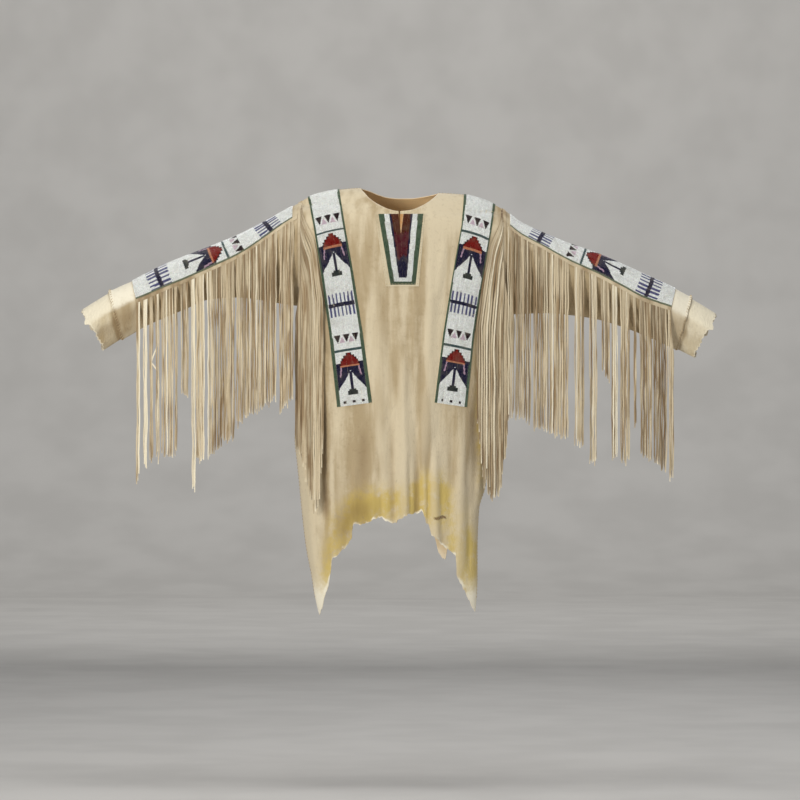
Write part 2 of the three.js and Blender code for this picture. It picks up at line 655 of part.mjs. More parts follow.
// One cut strand: a thin flat strip with four sides that follows its path
function strand(path, width = STRAND.width) {
  const corners = path.flatMap(({ x, y, z, turn = 0 }) => {
    const across = new THREE.Vector3(Math.cos(turn), Math.sin(turn), 0).multiplyScalar(width / 2);
    const through = new THREE.Vector3(-Math.sin(turn), Math.cos(turn), 0).multiplyScalar(STRAND.thick / 2);
    const middle = new THREE.Vector3(x, y, z);
    return [
      middle.clone().add(across).add(through),
      middle.clone().sub(across).add(through),
      middle.clone().sub(across).sub(through),
      middle.clone().add(across).sub(through),
    ];
  });
  const triangles = [
    [0, 1, 2],
    [0, 2, 3],
  ];
  for (let i = 0; i < path.length - 1; i++)
    for (let side = 0; side < 4; side++) {
      const a = i * 4 + side;
      const b = i * 4 + ((side + 1) % 4);
      triangles.push([a, a + 4, b + 4], [a, b + 4, b]);
    }
  const end = (path.length - 1) * 4;
  triangles.push([end, end + 2, end + 1], [end, end + 3, end + 2]);
  return solidGeometry(corners, triangles);
}

const fringeOn = (band, strands) =>
  fromManifold(strands.map(toManifold).reduce((whole, one) => whole.add(one), toManifold(band)));

// A point on a line of points at a share of its length
function alongLine(line, share) {
  const lengths = [0];
  for (let i = 1; i < line.length; i++) lengths.push(lengths[i - 1] + line[i].distanceTo(line[i - 1]));
  const at = share * lengths[lengths.length - 1];
  const past = Math.max(1, lengths.findIndex((length) => length >= at - 1e-9));
  const before = lengths[past - 1];
  return line[past - 1].clone().lerp(line[past], (at - before) / (lengths[past] - before));
}

// How far a sleeve stands out to the front beside x, a negative y
function sleeveFront(grid, x) {
  const beside = (a, b) => Math.min(a.x, b.x) - 8 <= x && x <= Math.max(a.x, b.x) + 8;
  const reach = grid.slice(1).flatMap((row, r) =>
    row.map(({ p }, c) => (beside(p, grid[r][c].p) ? Math.min(p.y, grid[r][c].p.y) : 0)),
  );
  return Math.min(...reach);
}

// The arm fringe hangs from the lower edge of the arm band, down over the front of the sleeve.
function armFringe(side) {
  const grid = sleeveGrids[side];
  const bandGrid = patch(grid, BAND_EDGE, FRINGE_EDGE, 0, BAND_STATIONS);
  for (const row of bandGrid) row[0].p.lerp(row[1].p, 0.06);
  const lift = liftFor(FRINGE_BAND);
  const band = wall(bandGrid, { thick: FRINGE_BAND, lift });
  const roots = bandGrid.map((row) => row[1].p.clone().addScaledVector(row[1].n, lift));
  const strands = [];
  for (let i = 0; i < ARM_FRINGE.strands; i++) {
    const share = lerp(0.012, 0.992, i / (ARM_FRINGE.strands - 1));
    const root = alongLine(roots, share);
    const front = Math.min(root.y, sleeveFront(grid, root.x) - HIDE / 2) - STRAND.clear;
    const length = read(ARM_FRINGE[side], "from", "length", share) + ARM_FRINGE.unevenness * uneven(i);
    const sway = uneven(i + 40) * STRAND.width * 0.5;
    strands.push(
      strand([
        { x: root.x, y: root.y, z: root.z + STRAND.sink },
        { x: root.x, y: front, z: root.z - ARM_FRINGE.drape, turn: 0.25 * uneven(i + 7) },
        { x: root.x + sway, y: front - STRAND.clear, z: root.z - length, turn: 0.5 * uneven(i + 3) },
      ]),
    );
  }
  return fringeOn(band, strands);
}

// The armhole fringe is cut from a strip sewn into the armhole seam. Its strands fan out over the hide beside
// the shoulder band, the highest furthest in, and then hang down.
function armholeFringe(face, side) {
  const grid = face === "front" ? frontGrid : backGrid;
  const guides = face === "front" ? FRONT_GUIDES : BACK_GUIDES;
  const folds = face === "front" ? FRONT_FOLDS : BACK_FOLDS;
  const sign = face === "front" ? -1 : 1;
  const inward = side === "left" ? 1 : -1;
  const last = grid[0].length - 1;
  const [edge, inner] = side === "left" ? [0, 1] : [last, last - 1];
  const lift = liftFor(FRINGE_BAND);
  const bandGrid = patch(grid, Math.min(edge, inner), Math.max(edge, inner), 0, BIB_FOOT_ROW);
  bandGrid[0].forEach((point) => (point.p.y += sign * (SEAM + FRINGE_BAND / 2)));
  const band = wall(bandGrid, { thick: FRINGE_BAND, lift, flip: face === "back" });
  const rootIndex = side === "left" ? 1 : 0;
  const innerEdge = bandGrid.slice(1).map((row) => row[rootIndex]);
  const roots = innerEdge.map(({ p, n }) => p.clone().addScaledVector(n, lift));
  const bandCol = guides[side === "left" ? BAND_GUIDE : guides.length - 1 - BAND_GUIDE].col;
  const bandEdge = grid.slice(0, BAND_FOOT_ROW + 1).map((row) => row[bandCol].p);
  const count = ARMHOLE_FRINGE.strandsIn[face];
  const strands = [];
  for (let i = 0; i < count; i++) {
    const order = i / (count - 1); // 0 is the lowest root and the outermost strand
    const root = alongLine(roots, lerp(0.97, 0.1, order));
    const layer = (i % 2) * STRAND.thick * 2;
    const longer = ARMHOLE_FRINGE.spread * order + ARMHOLE_FRINGE.unevenness * uneven(i + 11);
    const length = ARMHOLE_FRINGE.length + longer;
    const slot = (z) => {
      const seam = sideX(side, z) + inward * STRAND.width * 2;
      const limit = read(bandEdge, "z", "x", z) - inward * STRAND.width * 1.5;
      const room = Math.min(Math.abs(limit - seam), ARMHOLE_FRINGE.spread);
      return seam + inward * room * order;
    };
    const path = [{ x: root.x - inward * STRAND.sink, y: root.y + sign * 0.3, z: root.z + 1 }];
    for (const drop of ARMHOLE_FRINGE.drops) {
      const from = path[path.length - 1];
      const z = root.z - drop;
      const fanned = smooth((drop - ARMHOLE_FRINGE.drops[0]) / ARMHOLE_FRINGE.drops[2]);
      const x = lerp(root.x + inward * STRAND.sink, slot(z), fanned);
      // Far enough out for the whole stretch to lie on the hide, not through it
      const reach = [0.25, 0.5, 0.75, 1].map((t) => {
        const hide = hideDepth(face, folds, lerp(from.x, x, t), lerp(from.z, z, t)) + HIDE / 2 + STRAND.clear;
        return (hide - Math.abs(from.y) * (1 - t)) / t + layer * t;
      });
      path.push({ x, y: sign * Math.max(Math.abs(from.y), ...reach), z });
    }
    path.push({ ...path[path.length - 1], z: root.z - length, turn: 0.3 * uneven(i + 5) });
    strands.push(strand(path, STRAND.narrow));
  }
  return fringeOn(band, strands);
}

// Assembly

const finishes = {
  hide: { color: 0xd8c49c, roughness: 0.92, metalness: 0 },
  paleHide: { color: 0xe6d9bc, roughness: 0.9, metalness: 0 },
  fringe: { color: 0xc4ae84, roughness: 0.94, metalness: 0 },
  beadwork: { color: 0xe6e6e0, roughness: 0.42, metalness: 0 },
};

const shirt = new THREE.Group();

function addPiece(name, geometry, finish) {
  geometry.computeVertexNormals();
  const mesh = new THREE.Mesh(geometry, new THREE.MeshStandardMaterial(finishes[finish]));
  mesh.name = name;
  shirt.add(mesh);
}

addPiece("front_hide", cutSlit(wall(frontGrid)), "hide");
addPiece("back_hide", wall(backGrid, { flip: true }), "hide");
addPiece("neck_bib", neckBib(), "beadwork");
for (const side of ["left", "right"]) {
  addPiece(`shoulder_band_${side}`, shoulderBand(side), "beadwork");
  addPiece(`sleeve_${side}`, wall(sleeveGrids[side], { loop: true }), "hide");
  addPiece(`cuff_${side}`, wall(cuffGrid(side), { loop: true }), "paleHide");
  addPiece(`arm_band_${side}`, armBand(side), "beadwork");
  addPiece(`arm_fringe_${side}`, armFringe(side), "fringe");
  addPiece(`armhole_fringe_front_${side}`, armholeFringe("front", side), "fringe");
  addPiece(`armhole_fringe_back_${side}`, armholeFringe("back", side), "fringe");
}

export default shirt;
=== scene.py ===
import bpy
import numpy as np
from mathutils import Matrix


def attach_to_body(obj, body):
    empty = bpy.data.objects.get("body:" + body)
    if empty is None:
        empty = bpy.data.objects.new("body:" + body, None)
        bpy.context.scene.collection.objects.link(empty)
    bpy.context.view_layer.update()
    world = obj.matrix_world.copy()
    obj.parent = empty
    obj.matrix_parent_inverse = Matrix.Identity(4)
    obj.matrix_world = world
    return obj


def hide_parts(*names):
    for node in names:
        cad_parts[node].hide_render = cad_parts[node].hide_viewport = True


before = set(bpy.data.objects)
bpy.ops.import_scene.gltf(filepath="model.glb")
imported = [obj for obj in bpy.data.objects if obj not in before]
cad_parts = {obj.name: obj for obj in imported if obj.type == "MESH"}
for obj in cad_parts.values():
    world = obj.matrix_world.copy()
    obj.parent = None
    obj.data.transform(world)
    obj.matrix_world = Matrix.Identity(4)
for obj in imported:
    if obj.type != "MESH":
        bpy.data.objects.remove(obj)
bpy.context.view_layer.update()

# The view: straight at the front from chest height, from far enough off that the shirt looks nearly flat.
PICTURE_WIDTH = 1.981  # metres across the picture, at the shirt
PICTURE_Y = -0.05  # where that width is measured
CHEST_Z = -0.520
LENS = 180
SENSOR = 36
camera = bpy.data.objects.new("camera", bpy.data.cameras.new("camera"))
camera.data.lens = LENS
camera.data.sensor_width = SENSOR
camera.location = (0.0015, PICTURE_Y - PICTURE_WIDTH * LENS / SENSOR, CHEST_Z)
camera.rotation_euler = (np.pi / 2, 0, 0)
bpy.context.scene.collection.objects.link(camera)
bpy.context.scene.camera = camera


# Front and back hide: two whole deer or antelope hides, brain tanned, neck up and legs down, joined along the
# shoulders and the sides. Their lower edges keep the animals' legs and flanks, with ochre rubbed in above the
# hem. The front is slit below the neck.
MM = 0.001
HIDE = 2.0  # thickness of a hide
SEAM = 0.3  # gap between pieces that are sewn together
SHOULDER_ROUND = 88
BIB_TOP_Z = -62
BIB_FOOT_Z = -240
BAND_FOOT_Z = -532
ARMHOLE_DEEP = 55
SLIT_WIDTH = 6
SLIT_TOP_Z = -30
SLIT_FOOT_Z = -110
SLIT_COLUMN = 15
ARMHOLE_X = {"left": -252, "right": 264}
ARMHOLE_TIP_Z = {"left": -32, "right": -50}
UNDERARM_Z = {"left": -285, "right": -307}
SHOULDER_LINE = [
    (-252, -32), (-227, -17), (-190, -5), (-149, 2), (-97, 6), (98, -6), (157, -10), (200, -20), (234, -34),
    (264, -50),
]  # fmt: skip
NECK_EDGE = {
    "front": [(-97, 6), (-74, -21), (-50, -38), (-26, -49), (0, -54), (29, -51), (56, -40), (80, -24), (98, -6)],
    "back": [(-97, 6), (-74, 0), (-50, -9), (-26, -15), (0, -17), (29, -17), (56, -14), (80, -10), (98, -6)],
}
SIDES = {  # (z, x) down each side seam
    "left": [
        (-285, -252), (-340, -252), (-520, -253), (-619, -259), (-668, -254), (-738, -247), (-792, -242),
        (-891, -230), (-953, -218), (-1015, -208), (-1057, -198),
    ],
    "right": [
        (-285, 264), (-340, 259), (-520, 237), (-619, 228), (-668, 222), (-738, 212), (-792, 197), (-891, 193),
        (-953, 193), (-1015, 191), (-1057, 187),
    ],
}  # fmt: skip
DEPTHS = {  # (z, how deep the hide stands off the middle plane)
    "front": [(10, 88), (-150, 96), (-285, 98), (-400, 94), (-700, 82), (-820, 74), (-1060, 46)],
    "back": [(10, 72), (-150, 80), (-285, 84), (-400, 84), (-700, 76), (-820, 70), (-1060, 44)],
}
ROUNDNESS = [(10, 1), (-150, 1), (-285, 1.5), (-400, 2), (-700, 2), (-820, 1.8), (-1060, 1.5)]
GUIDES = {  # (column, x at the top edge, x at the bib's foot, x at the bands' foot)
    "front": [
        (0, -252, -252, -253), (1, -243, -243, -243), (5, -227, -197, -158), (8, -149, -114, -72),
        (10, -97, -74, -56), (12, -65, -34, -38), (15, 0, 7, 0), (18, 65, 48, 42), (20, 98, 84, 62),
        (22, 157, 124, 82), (25, 234, 206, 167), (29, 255, 255, 227), (30, 264, 264, 236),
    ],
    "back": [
        (0, -252, -252, -253), (1, -243, -243, -243), (3, -227, -197, -158), (6, -149, -114, -72),
        (8, -97, -74, -50), (11, 0, 4, 4), (14, 98, 84, 58), (16, 157, 124, 82), (19, 234, 206, 167),
        (21, 255, 255, 227), (22, 264, 264, 236),
    ],
}  # fmt: skip
HEM = {  # (column, x, z)
    "front": [
        (0, -198, -1057), (3, -175, -975), (5, -166, -911), (6, -139, -891), (7, -118, -866), (8, -116, -826),
        (10, -77, -820), (12, -45, -811), (13, -30, -821), (14, -12, -820), (15, 4, -812), (16, 20, -802),
        (18, 58, -799), (19, 67, -820), (20, 80, -850), (22, 112, -882), (23, 140, -900), (25, 142, -953),
        (30, 188, -1047),
    ],
    "back": [
        (0, -200, -1040), (2, -178, -960), (3, -166, -902), (4, -144, -878), (5, -124, -848), (6, -116, -812),
        (8, -78, -801), (11, -4, -794), (14, 60, -790), (15, 84, -842), (16, 98, -902), (17, 114, -922),
        (18, 122, -884), (19, 143, -908), (20, 152, -965), (22, 189, -1030),
    ],
}  # fmt: skip
KNOTS = 67  # places across the square of unevenness that is repeated
SLEEVE_LEAN = 0.75  # under 1, a sleeve is fullest above its middle
SLEEVE_FULLNESS = 0.7  # the less, the fuller it is beside its edges
BAND_COLUMNS = {"front": (5, 25), "back": (3, 19)}  # the shoulder bands' outer edges
FOLDS = {  # (from x, from z, to x, to z, width, rise): ridges rise, troughs sink
    "front": [
        (-62, -90, -40, -780, 17, 5), (-24, -500, -14, -860, 10, -6), (5, -330, 17, -860, 13, 9),
        (42, -520, 43, -860, 9, -7), (82, -80, 62, -700, 16, 6), (88, -600, 92, -900, 12, 8),
        (129, -540, 119, -920, 14, -4), (156, -560, 152, -980, 13, 6), (186, -480, 180, -820, 12, -5),
        (-193, -470, -182, -850, 13, -9), (-226, -600, -212, -1000, 12, 5), (-138, -540, -146, -920, 16, 5),
        (-84, -540, -92, -860, 16, -2.5),
    ],
    "back": [
        (-40, -60, -52, -860, 22, 6), (4, -260, 0, -860, 20, -8), (48, -80, 60, -860, 22, 7),
        (-130, -480, -128, -920, 20, -7), (130, -480, 120, -920, 20, 6), (176, -420, 168, -960, 16, -7),
        (-200, -420, -190, -980, 16, 6),
    ],
}  # fmt: skip
FINE_FOLDS = {  # finer ones that only the looks have
    "front": [
        (-50, -600, -46, -850, 6, -3), (-8, -640, -2, -850, 5, 3), (24, -640, 27, -840, 5, -4),
        (60, -650, 66, -870, 6, 4), (72, -700, 70, -860, 5, -3), (104, -700, 104, -900, 6, -3),
        (-112, -640, -108, -850, 7, 3), (-66, -690, -62, -840, 5, 3), (-160, -640, -168, -930, 7, -3),
        (-212, -300, -176, -420, 10, -3), (-206, -560, -196, -760, 7, 4), (214, -330, 196, -470, 10, -3),
        (-30, -240, -22, -420, 9, -2), (38, -240, 36, -420, 9, 2), (-96, -120, -74, -260, 10, 2.5),
        (112, -120, 92, -280, 10, 3), (60, -250, 56, -520, 10, -3), (168, -620, 172, -960, 6, -3),
        (206, -560, 198, -760, 6, 3),
    ],
    "back": [
        (-80, -500, -84, -850, 10, 4), (-20, -560, -22, -850, 8, -3), (28, -560, 30, -850, 8, 4),
        (84, -560, 88, -880, 9, -4), (-160, -560, -166, -900, 8, 3), (150, -600, 146, -920, 8, -3),
        (-210, -300, -170, -430, 12, -4), (214, -330, 190, -470, 12, -4), (0, -40, 0, -200, 14, 3),
    ],
}  # fmt: skip


def straight(points, at):
    """Reads a table of (place, value) in straight lines between its rows."""
    place, value = np.array(sorted(points), float).T
    return np.interp(at, place, value)


def curved(points, at):
    """Reads a table of (place, value) along a smooth line through its rows, which never overshoots them."""
    place, value = np.array(sorted(points), float).T
    wide = np.diff(place)
    slope = np.diff(value) / wide
    turn = np.zeros(len(value))
    turn[0], turn[-1] = slope[0], slope[-1]
    both = slope[:-1] * slope[1:]
    keeps = both > 0
    turn[1:-1][keeps] = 2 * both[keeps] / (slope[:-1] + slope[1:])[keeps]
    at = np.clip(at, place[0], place[-1])
    i = np.clip(np.searchsorted(place, at) - 1, 0, len(wide) - 1)
    t = (at - place[i]) / wide[i]
    start = value[i] * (1 + 2 * t) * (1 - t) ** 2 + turn[i] * wide[i] * t * (1 - t) ** 2
    end = value[i + 1] * (3 - 2 * t) * t**2 - turn[i + 1] * wide[i] * t**2 * (1 - t)
    return start + end


def ease(t):
    t = np.clip(t, 0, 1)
    return t * t * (3 - 2 * t)


def ripple(seed, u, v):
    """Smooth unevenness from -1 to 1 over a plane, the same on each run."""
    knots = np.random.default_rng(seed).uniform(-1, 1, (KNOTS, KNOTS))
    i, j = np.floor(u).astype(int), np.floor(v).astype(int)
    a, b = ease(u - i), ease(v - j)

    def knot(right, up):
        return knots[(i + right) % KNOTS, (j + up) % KNOTS]

    low = knot(0, 0) * (1 - a) + knot(1, 0) * a
    return low * (1 - b) + (knot(0, 1) * (1 - a) + knot(1, 1) * a) * b


def sleeve_profile(share):
    """How far a sleeve or an armhole stands off the middle plane, at a share of its height from the top."""
    return np.sin(np.pi * np.clip(share, 0, 1) ** SLEEVE_LEAN) ** SLEEVE_FULLNESS


def armhole_depth(side, z):
    tip, under = ARMHOLE_TIP_Z[side], UNDERARM_Z[side]
    return ARMHOLE_DEEP * sleeve_profile((tip - z) / (tip - under))


def side_x(side, z):
    return np.where(z > UNDERARM_Z[side], ARMHOLE_X[side], curved(SIDES[side], z))


def fold_rise(folds, x, z):
    total = 0 * x
    for from_x, from_z, to_x, to_z, width, rise in folds:
        along = (z - from_z) / (to_z - from_z)
        off = (x - from_x - (to_x - from_x) * along) / width
        grown = ease(along * 3) * ease((1 - along) * 6)
        total = total + rise * np.exp(-off * off) * grown * (along > 0) * (along < 1)
    return total


def limpness(face, x, z):
    """The small unevenness of soft hide, more of it towards the hem."""
    seed = 11 if face == "front" else 23
    lean = 14 * ripple(seed, x / 160, z / 240)
    long = 1.7 * ripple(seed + 1, (x + lean) / 46, z / 210)
    short = 0.9 * ripple(seed + 2, (x + lean) / 19, z / 95) + 0.35 * ripple(seed + 3, x / 9, z / 34)
    return (long + short) * (0.45 + 0.75 * ease((-z - 120) / 600))


def hide_depth(face, x, z):
    """How far a hide stands off the middle plane at x and z."""
    left, right = side_x("left", z), side_x("right", z)
    across = np.clip((2 * x - left - right) / (right - left), -1, 1)
    edge = np.where(across < 0, armhole_depth("left", z), armhole_depth("right", z))
    below_tip = np.where(across < 0, ARMHOLE_TIP_Z["left"], ARMHOLE_TIP_Z["right"]) - z
    inward = ease((1 - np.abs(across)) * 14)
    edge = edge * (1 - inward * (1 - ease(below_tip / 18)))
    drop = np.clip((curved(SHOULDER_LINE, x) - z) / SHOULDER_ROUND, 0, 1)
    full = curved(DEPTHS[face], z) * np.sqrt(1 - (1 - drop) ** 2)
    arch = (1 - across * across) ** (1 / curved(ROUNDNESS, z))
    calm = ease((1 - np.abs(across)) * 12) * ease(drop * 4)
    folds = fold_rise(FOLDS[face] + FINE_FOLDS[face], x, z) + limpness(face, x, z)
    return edge + (full - edge) * arch + folds * calm


def hide_plan(face, column, level):
    """Seen from the front, where the columns of a hide lie at levels from 0, its top edge, to 5, its hem."""
    guides = np.array(GUIDES[face], float)
    last = guides[-1, 0]
    top, bib, foot = (np.interp(column, guides[:, 0], guides[:, i]) for i in (1, 2, 3))
    in_neck = (top > NECK_EDGE[face][0][0]) & (top < NECK_EDGE[face][-1][0])
    top_z = np.where(in_neck, curved(NECK_EDGE[face], top), curved(SHOULDER_LINE, top))
    under_z = UNDERARM_Z["left"] + (UNDERARM_Z["right"] - UNDERARM_Z["left"]) * column / last
    at_bib = top + (bib - top) * (top_z - BIB_TOP_Z) / (top_z - BIB_FOOT_Z)
    at_under = bib + (foot - bib) * (BIB_FOOT_Z - under_z) / (BIB_FOOT_Z - BAND_FOOT_Z)
    hem_x = straight([row[:2] for row in HEM[face]], column)
    hem_z = straight([(row[0], row[2]) for row in HEM[face]], column)
    xs = np.array([top, at_bib, bib, at_under, foot, hem_x])
    same = np.ones_like(top)
    zs = np.array([top_z, BIB_TOP_Z * same, BIB_FOOT_Z * same, under_z, BAND_FOOT_Z * same, hem_z])
    i = np.clip(np.floor(level).astype(int), 0, 4)
    t = (level - i)[:, None]
    x, z = xs[i] * (1 - t) + xs[i + 1] * t, zs[i] * (1 - t) + zs[i + 1] * t
    # The lower edge is nibbled and torn, and the columns beside a side seam follow its curve.
    torn = 4.5 * ripple(5, column * 1.9, column * 0) + 3.2 * ripple(6, column * 6.1, column * 0)
    torn = torn + 9 * np.maximum(ripple(7, column * 3.3, column * 0) - 0.5, 0)
    z = z + torn * ease((level[:, None] - 4.6) / 0.4)
    below = level >= 3
    for side, edge, band in (("left", 0, BAND_COLUMNS[face][0]), ("right", -1, BAND_COLUMNS[face][1])):
        off = side_x(side, z[:, edge]) - x[:, edge]
        reach = np.clip(1 - np.abs(column - column[edge]) / abs(column[edge] - band), 0, 1)
        x[below] += off[below, None] * reach
    return x, z


def unit(vectors):
    return vectors / np.maximum(np.linalg.norm(vectors, axis=-1, keepdims=True), 1e-9)


def outward(points, towards, loop=False):
    """Normals of a grid of points, turned to the side that `towards` is on over most of it."""
    if loop:
        padded = np.concatenate([points[:, -1:], points, points[:, :1]], axis=1)
        across = padded[:, 2:] - padded[:, :-2]
    else:
        across = np.gradient(points, axis=1)
    normals = unit(np.cross(across, np.gradient(points, axis=0)))
    return normals if (normals * towards).sum() > 0 else -normals


def slit_half(z):
    return SLIT_WIDTH / 2 * np.clip((z - SLIT_FOOT_Z) / (SLIT_TOP_Z - SLIT_FOOT_Z), 0, 1.2)


def split_columns(columns, middle):
    """Doubles the column of the neck slit. The second result is -1 to its left and 1 to its right."""
    columns = np.insert(columns, middle, float(SLIT_COLUMN))
    return columns, np.where(np.arange(len(columns)) <= middle, -1.0, 1.0)


def hide_grid(face, column, level, parts=None):
    """The middle of a hide's wall on a grid, and its normals. Its edges are square to the pieces they meet.
    parts is -1 for the columns to the left of the neck slit and 1 for those to its right."""
    x, z = hide_plan(face, column, level)
    if parts is not None:
        near = np.clip(1 - np.abs(column - SLIT_COLUMN) / 1.6, 0, 1)
        x = x + parts * near * slit_half(z)
    sign = -1 if face == "front" else 1
    points = np.stack([x, sign * hide_depth(face, x, z), z], -1)
    normals = outward(points, np.array([0, sign, 0.2]))
    last = GUIDES[face][-1][0]
    for edge, away in ((0, -1), (-1, 1)):
        if column[edge] not in (0, last):
            continue
        above = level < 3
        normals[above, edge, 0] = 0
        normals[~above, edge] = (away, 0, 0)
        points[~above, edge, 1] = 0
    if level[0] == 0:
        on_shoulder = (x[0] <= NECK_EDGE[face][0][0]) | (x[0] >= NECK_EDGE[face][-1][0])
        normals[0, on_shoulder] = (0, 0, 1)
        points[0, on_shoulder, 1] = 0
    normals = unit(normals)
    points[..., 1] = sign * np.maximum(np.abs(points[..., 1]), SEAM / 2 + HIDE / 2 * np.abs(normals[..., 1]))
    return points, normals


def sew_up(name, places, faces, material, marks=None, smooth=True):
    """A mesh object from places in millimetres. marks are values that its material reads at each place."""
    corners = faces.shape[1]
    used, faces = np.unique(faces, return_inverse=True)
    faces = faces.reshape(-1, corners)
    mesh = bpy.data.meshes.new(name)
    mesh.from_pydata((places[used] * MM).tolist(), [], faces.tolist())
    for mark, values in (marks or {}).items():
        attribute = mesh.attributes.new(mark, "FLOAT", "POINT")
        attribute.data.foreach_set("value", np.asarray(values, np.float32)[used])
    mesh.materials.append(material)
    if smooth:
        mesh.polygons.foreach_set("use_smooth", np.ones(len(mesh.polygons), bool))
        mesh.set_sharp_from_angle(angle=np.radians(55))
    piece = bpy.data.objects.new(name, mesh)
    bpy.context.scene.collection.objects.link(piece)
    return piece


def cloth(name, points, normals, material, marks=None, thick=HIDE, lift=0.0, loop=False, slit=None):
    """A sheet with a thickness on a grid of points. slit is the column that is doubled for an opening, and
    the row at which the opening ends."""
    rows, cols = points.shape[:2]
    grid = np.arange(rows * cols).reshape(rows, cols)
    if slit:
        grid[slit[1] :, slit[0] + 1] = grid[slit[1] :, slit[0]]
    ring = np.hstack([grid, grid[:, :1]]) if loop else grid
    cells = np.stack([ring[:-1, :-1], ring[1:, :-1], ring[1:, 1:], ring[:-1, 1:]], -1)
    if slit:
        cells = np.delete(cells, slit[0], axis=1)
    outer = cells.reshape(-1, 4)
    a, b, d = (points.reshape(-1, 3)[outer[len(outer) // 2, i]] for i in (0, 1, 3))
    if np.dot(np.cross(b - a, d - a), normals.reshape(-1, 3)[outer[len(outer) // 2, 0]]) < 0:
        outer = outer[:, ::-1]
    count = rows * cols
    edges = np.concatenate([outer[:, [i, (i + 1) % 4]] for i in range(4)])
    _, first, times = np.unique(np.sort(edges, axis=1), axis=0, return_index=True, return_counts=True)
    rim = edges[first[times == 1]]
    rim = np.column_stack([rim[:, 1], rim[:, 0], rim[:, 0] + count, rim[:, 1] + count])
    places = np.concatenate([points + normals * (lift + thick / 2), points + normals * (lift - thick / 2)])
    faces = np.concatenate([outer, outer[:, ::-1] + count, rim])
    marks = {mark: np.concatenate([values.ravel()] * 2) for mark, values in (marks or {}).items()}
    # The inner wall takes the material's inside colour, fully near the top and a third of it lower down; on the
    # buckskin that colour is painted light.
    marks["inside"] = np.concatenate([np.zeros(count), 0.3 + 0.7 * ease((points[..., 2].ravel() + 260) / 160)])
    return sew_up(name, places.reshape(-1, 3), faces, material, marks)


def colour(red, green, blue):
    """A colour as the eye reads it, 0 to 255, in the linear values that a shader takes."""
    seen = np.array([red, green, blue]) / 255
    return (*np.where(seen <= 0.04045, seen / 12.92, ((seen + 0.055) / 1.055) ** 2.4), 1.0)


def set_inputs(tree, node, inputs):
    """Sets a node's inputs. An input is a value, or another node's output."""
    for key, value in inputs.items():
        if isinstance(value, bpy.types.NodeSocket):
            tree.links.new(value, node.inputs[key])
        else:
            node.inputs[key].default_value = value


def add_node(tree, kind, inputs=None, **settings):
    node = tree.nodes.new(f"ShaderNode{kind}")
    for key, value in settings.items():
        setattr(node, key, value)
    set_inputs(tree, node, inputs or {})
    return node


def new_group(name, inputs, outputs):
    """An empty shader node group with named sockets: {name: (type, default)} in, {name: type} out."""
    group = bpy.data.node_groups.new(name, "ShaderNodeTree")
    for key, (kind, default) in inputs.items():
        group.interface.new_socket(key, in_out="INPUT", socket_type=kind).default_value = default
    for key, kind in outputs.items():
        group.interface.new_socket(key, in_out="OUTPUT", socket_type=kind)
    return group, group.nodes.new("NodeGroupInput").outputs, group.nodes.new("NodeGroupOutput").inputs


def blend_colour(tree, share, low, high):
    """Mixes two colours by a share."""
    return add_node(tree, "Mix", {0: share, 6: low, 7: high}, data_type="RGBA").outputs[2]


def spread_range(tree, value, low, high, to_low=0.0, to_high=1.0):
    """Spreads the values between low and high over another range, and gives the output."""
    inputs = {"Value": value, "From Min": low, "From Max": high, "To Min": to_low, "To Max": to_high}
    return add_node(tree, "MapRange", inputs, interpolation_type="SMOOTHSTEP").outputs["Result"]


def reckon(tree, how, first, second):
    """Adds or multiplies two values."""
    return add_node(tree, "Math", {0: first, 1: second}, operation=how).outputs[0]


def noise(tree, place, scale, detail, **more):
    """Cloudy unevenness over a place, from 0 to 1."""
    return add_node(tree, "TexNoise", {"Vector": place, "Scale": scale, "Detail": detail, **more}).outputs["Fac"]


def object_place(tree, upright=1.0):
    """Places on an object. Where upright is less than 1, patterns on them run long downwards."""
    place = add_node(tree, "TexCoord").outputs["Object"]
    if upright < 1:
        place = add_node(tree, "VectorMath", {0: place, 1: (1, 1, upright)}, operation="MULTIPLY").outputs[0]
    return place


def bumped(tree, height, distance, strength):
    """The normals of a surface that a height raises."""
    return add_node(tree, "Bump", {"Height": height, "Distance": distance, "Strength": strength}).outputs["Normal"]


def new_material(name):
    """A material, its node tree and its shader."""
    material = bpy.data.materials.new(name)
    material.use_nodes = True
    return material, material.node_tree, material.node_tree.nodes["Principled BSDF"]


def suede_nap():
    """The nap, pores and fine creases of tanned hide: a height, and a mask of how much nap lies one way."""
    group, given, result = new_group(
        "suede nap",
        {"Creases": ("NodeSocketFloat", 1.0)},
        {"Height": "NodeSocketFloat", "Brushed": "NodeSocketFloat"},
    )
    tall = object_place(group, 0.35)
    nap = noise(group, object_place(group), 900, 3)
    brushed = noise(group, tall, 42, 5, Distortion=0.6)
    crease = add_node(group, "TexVoronoi", {"Vector": tall, "Scale": 130}, feature="DISTANCE_TO_EDGE")
    groove = spread_range(group, crease.outputs["Distance"], 0.0, 0.16)
    held = reckon(group, "MULTIPLY", groove, given["Creases"])
    both = reckon(group, "ADD", held, reckon(group, "MULTIPLY", nap, 0.5))
    height = reckon(group, "ADD", both, reckon(group, "MULTIPLY", brushed, 1.6))
    group.links.new(height, result["Height"])
    group.links.new(spread_range(group, brushed, 0.35, 0.65), result["Brushed"])
    return group


TINTS = ("Pale", "Smoked_and_shade", "Soil_and_shade", "Bare_and_highlight", "Ochre")
MARKS = ("Fold_shading_and_tone", "Handled_and_shade", "Smoke_and_shading", "Painted", "Rubbed_and_highlight")


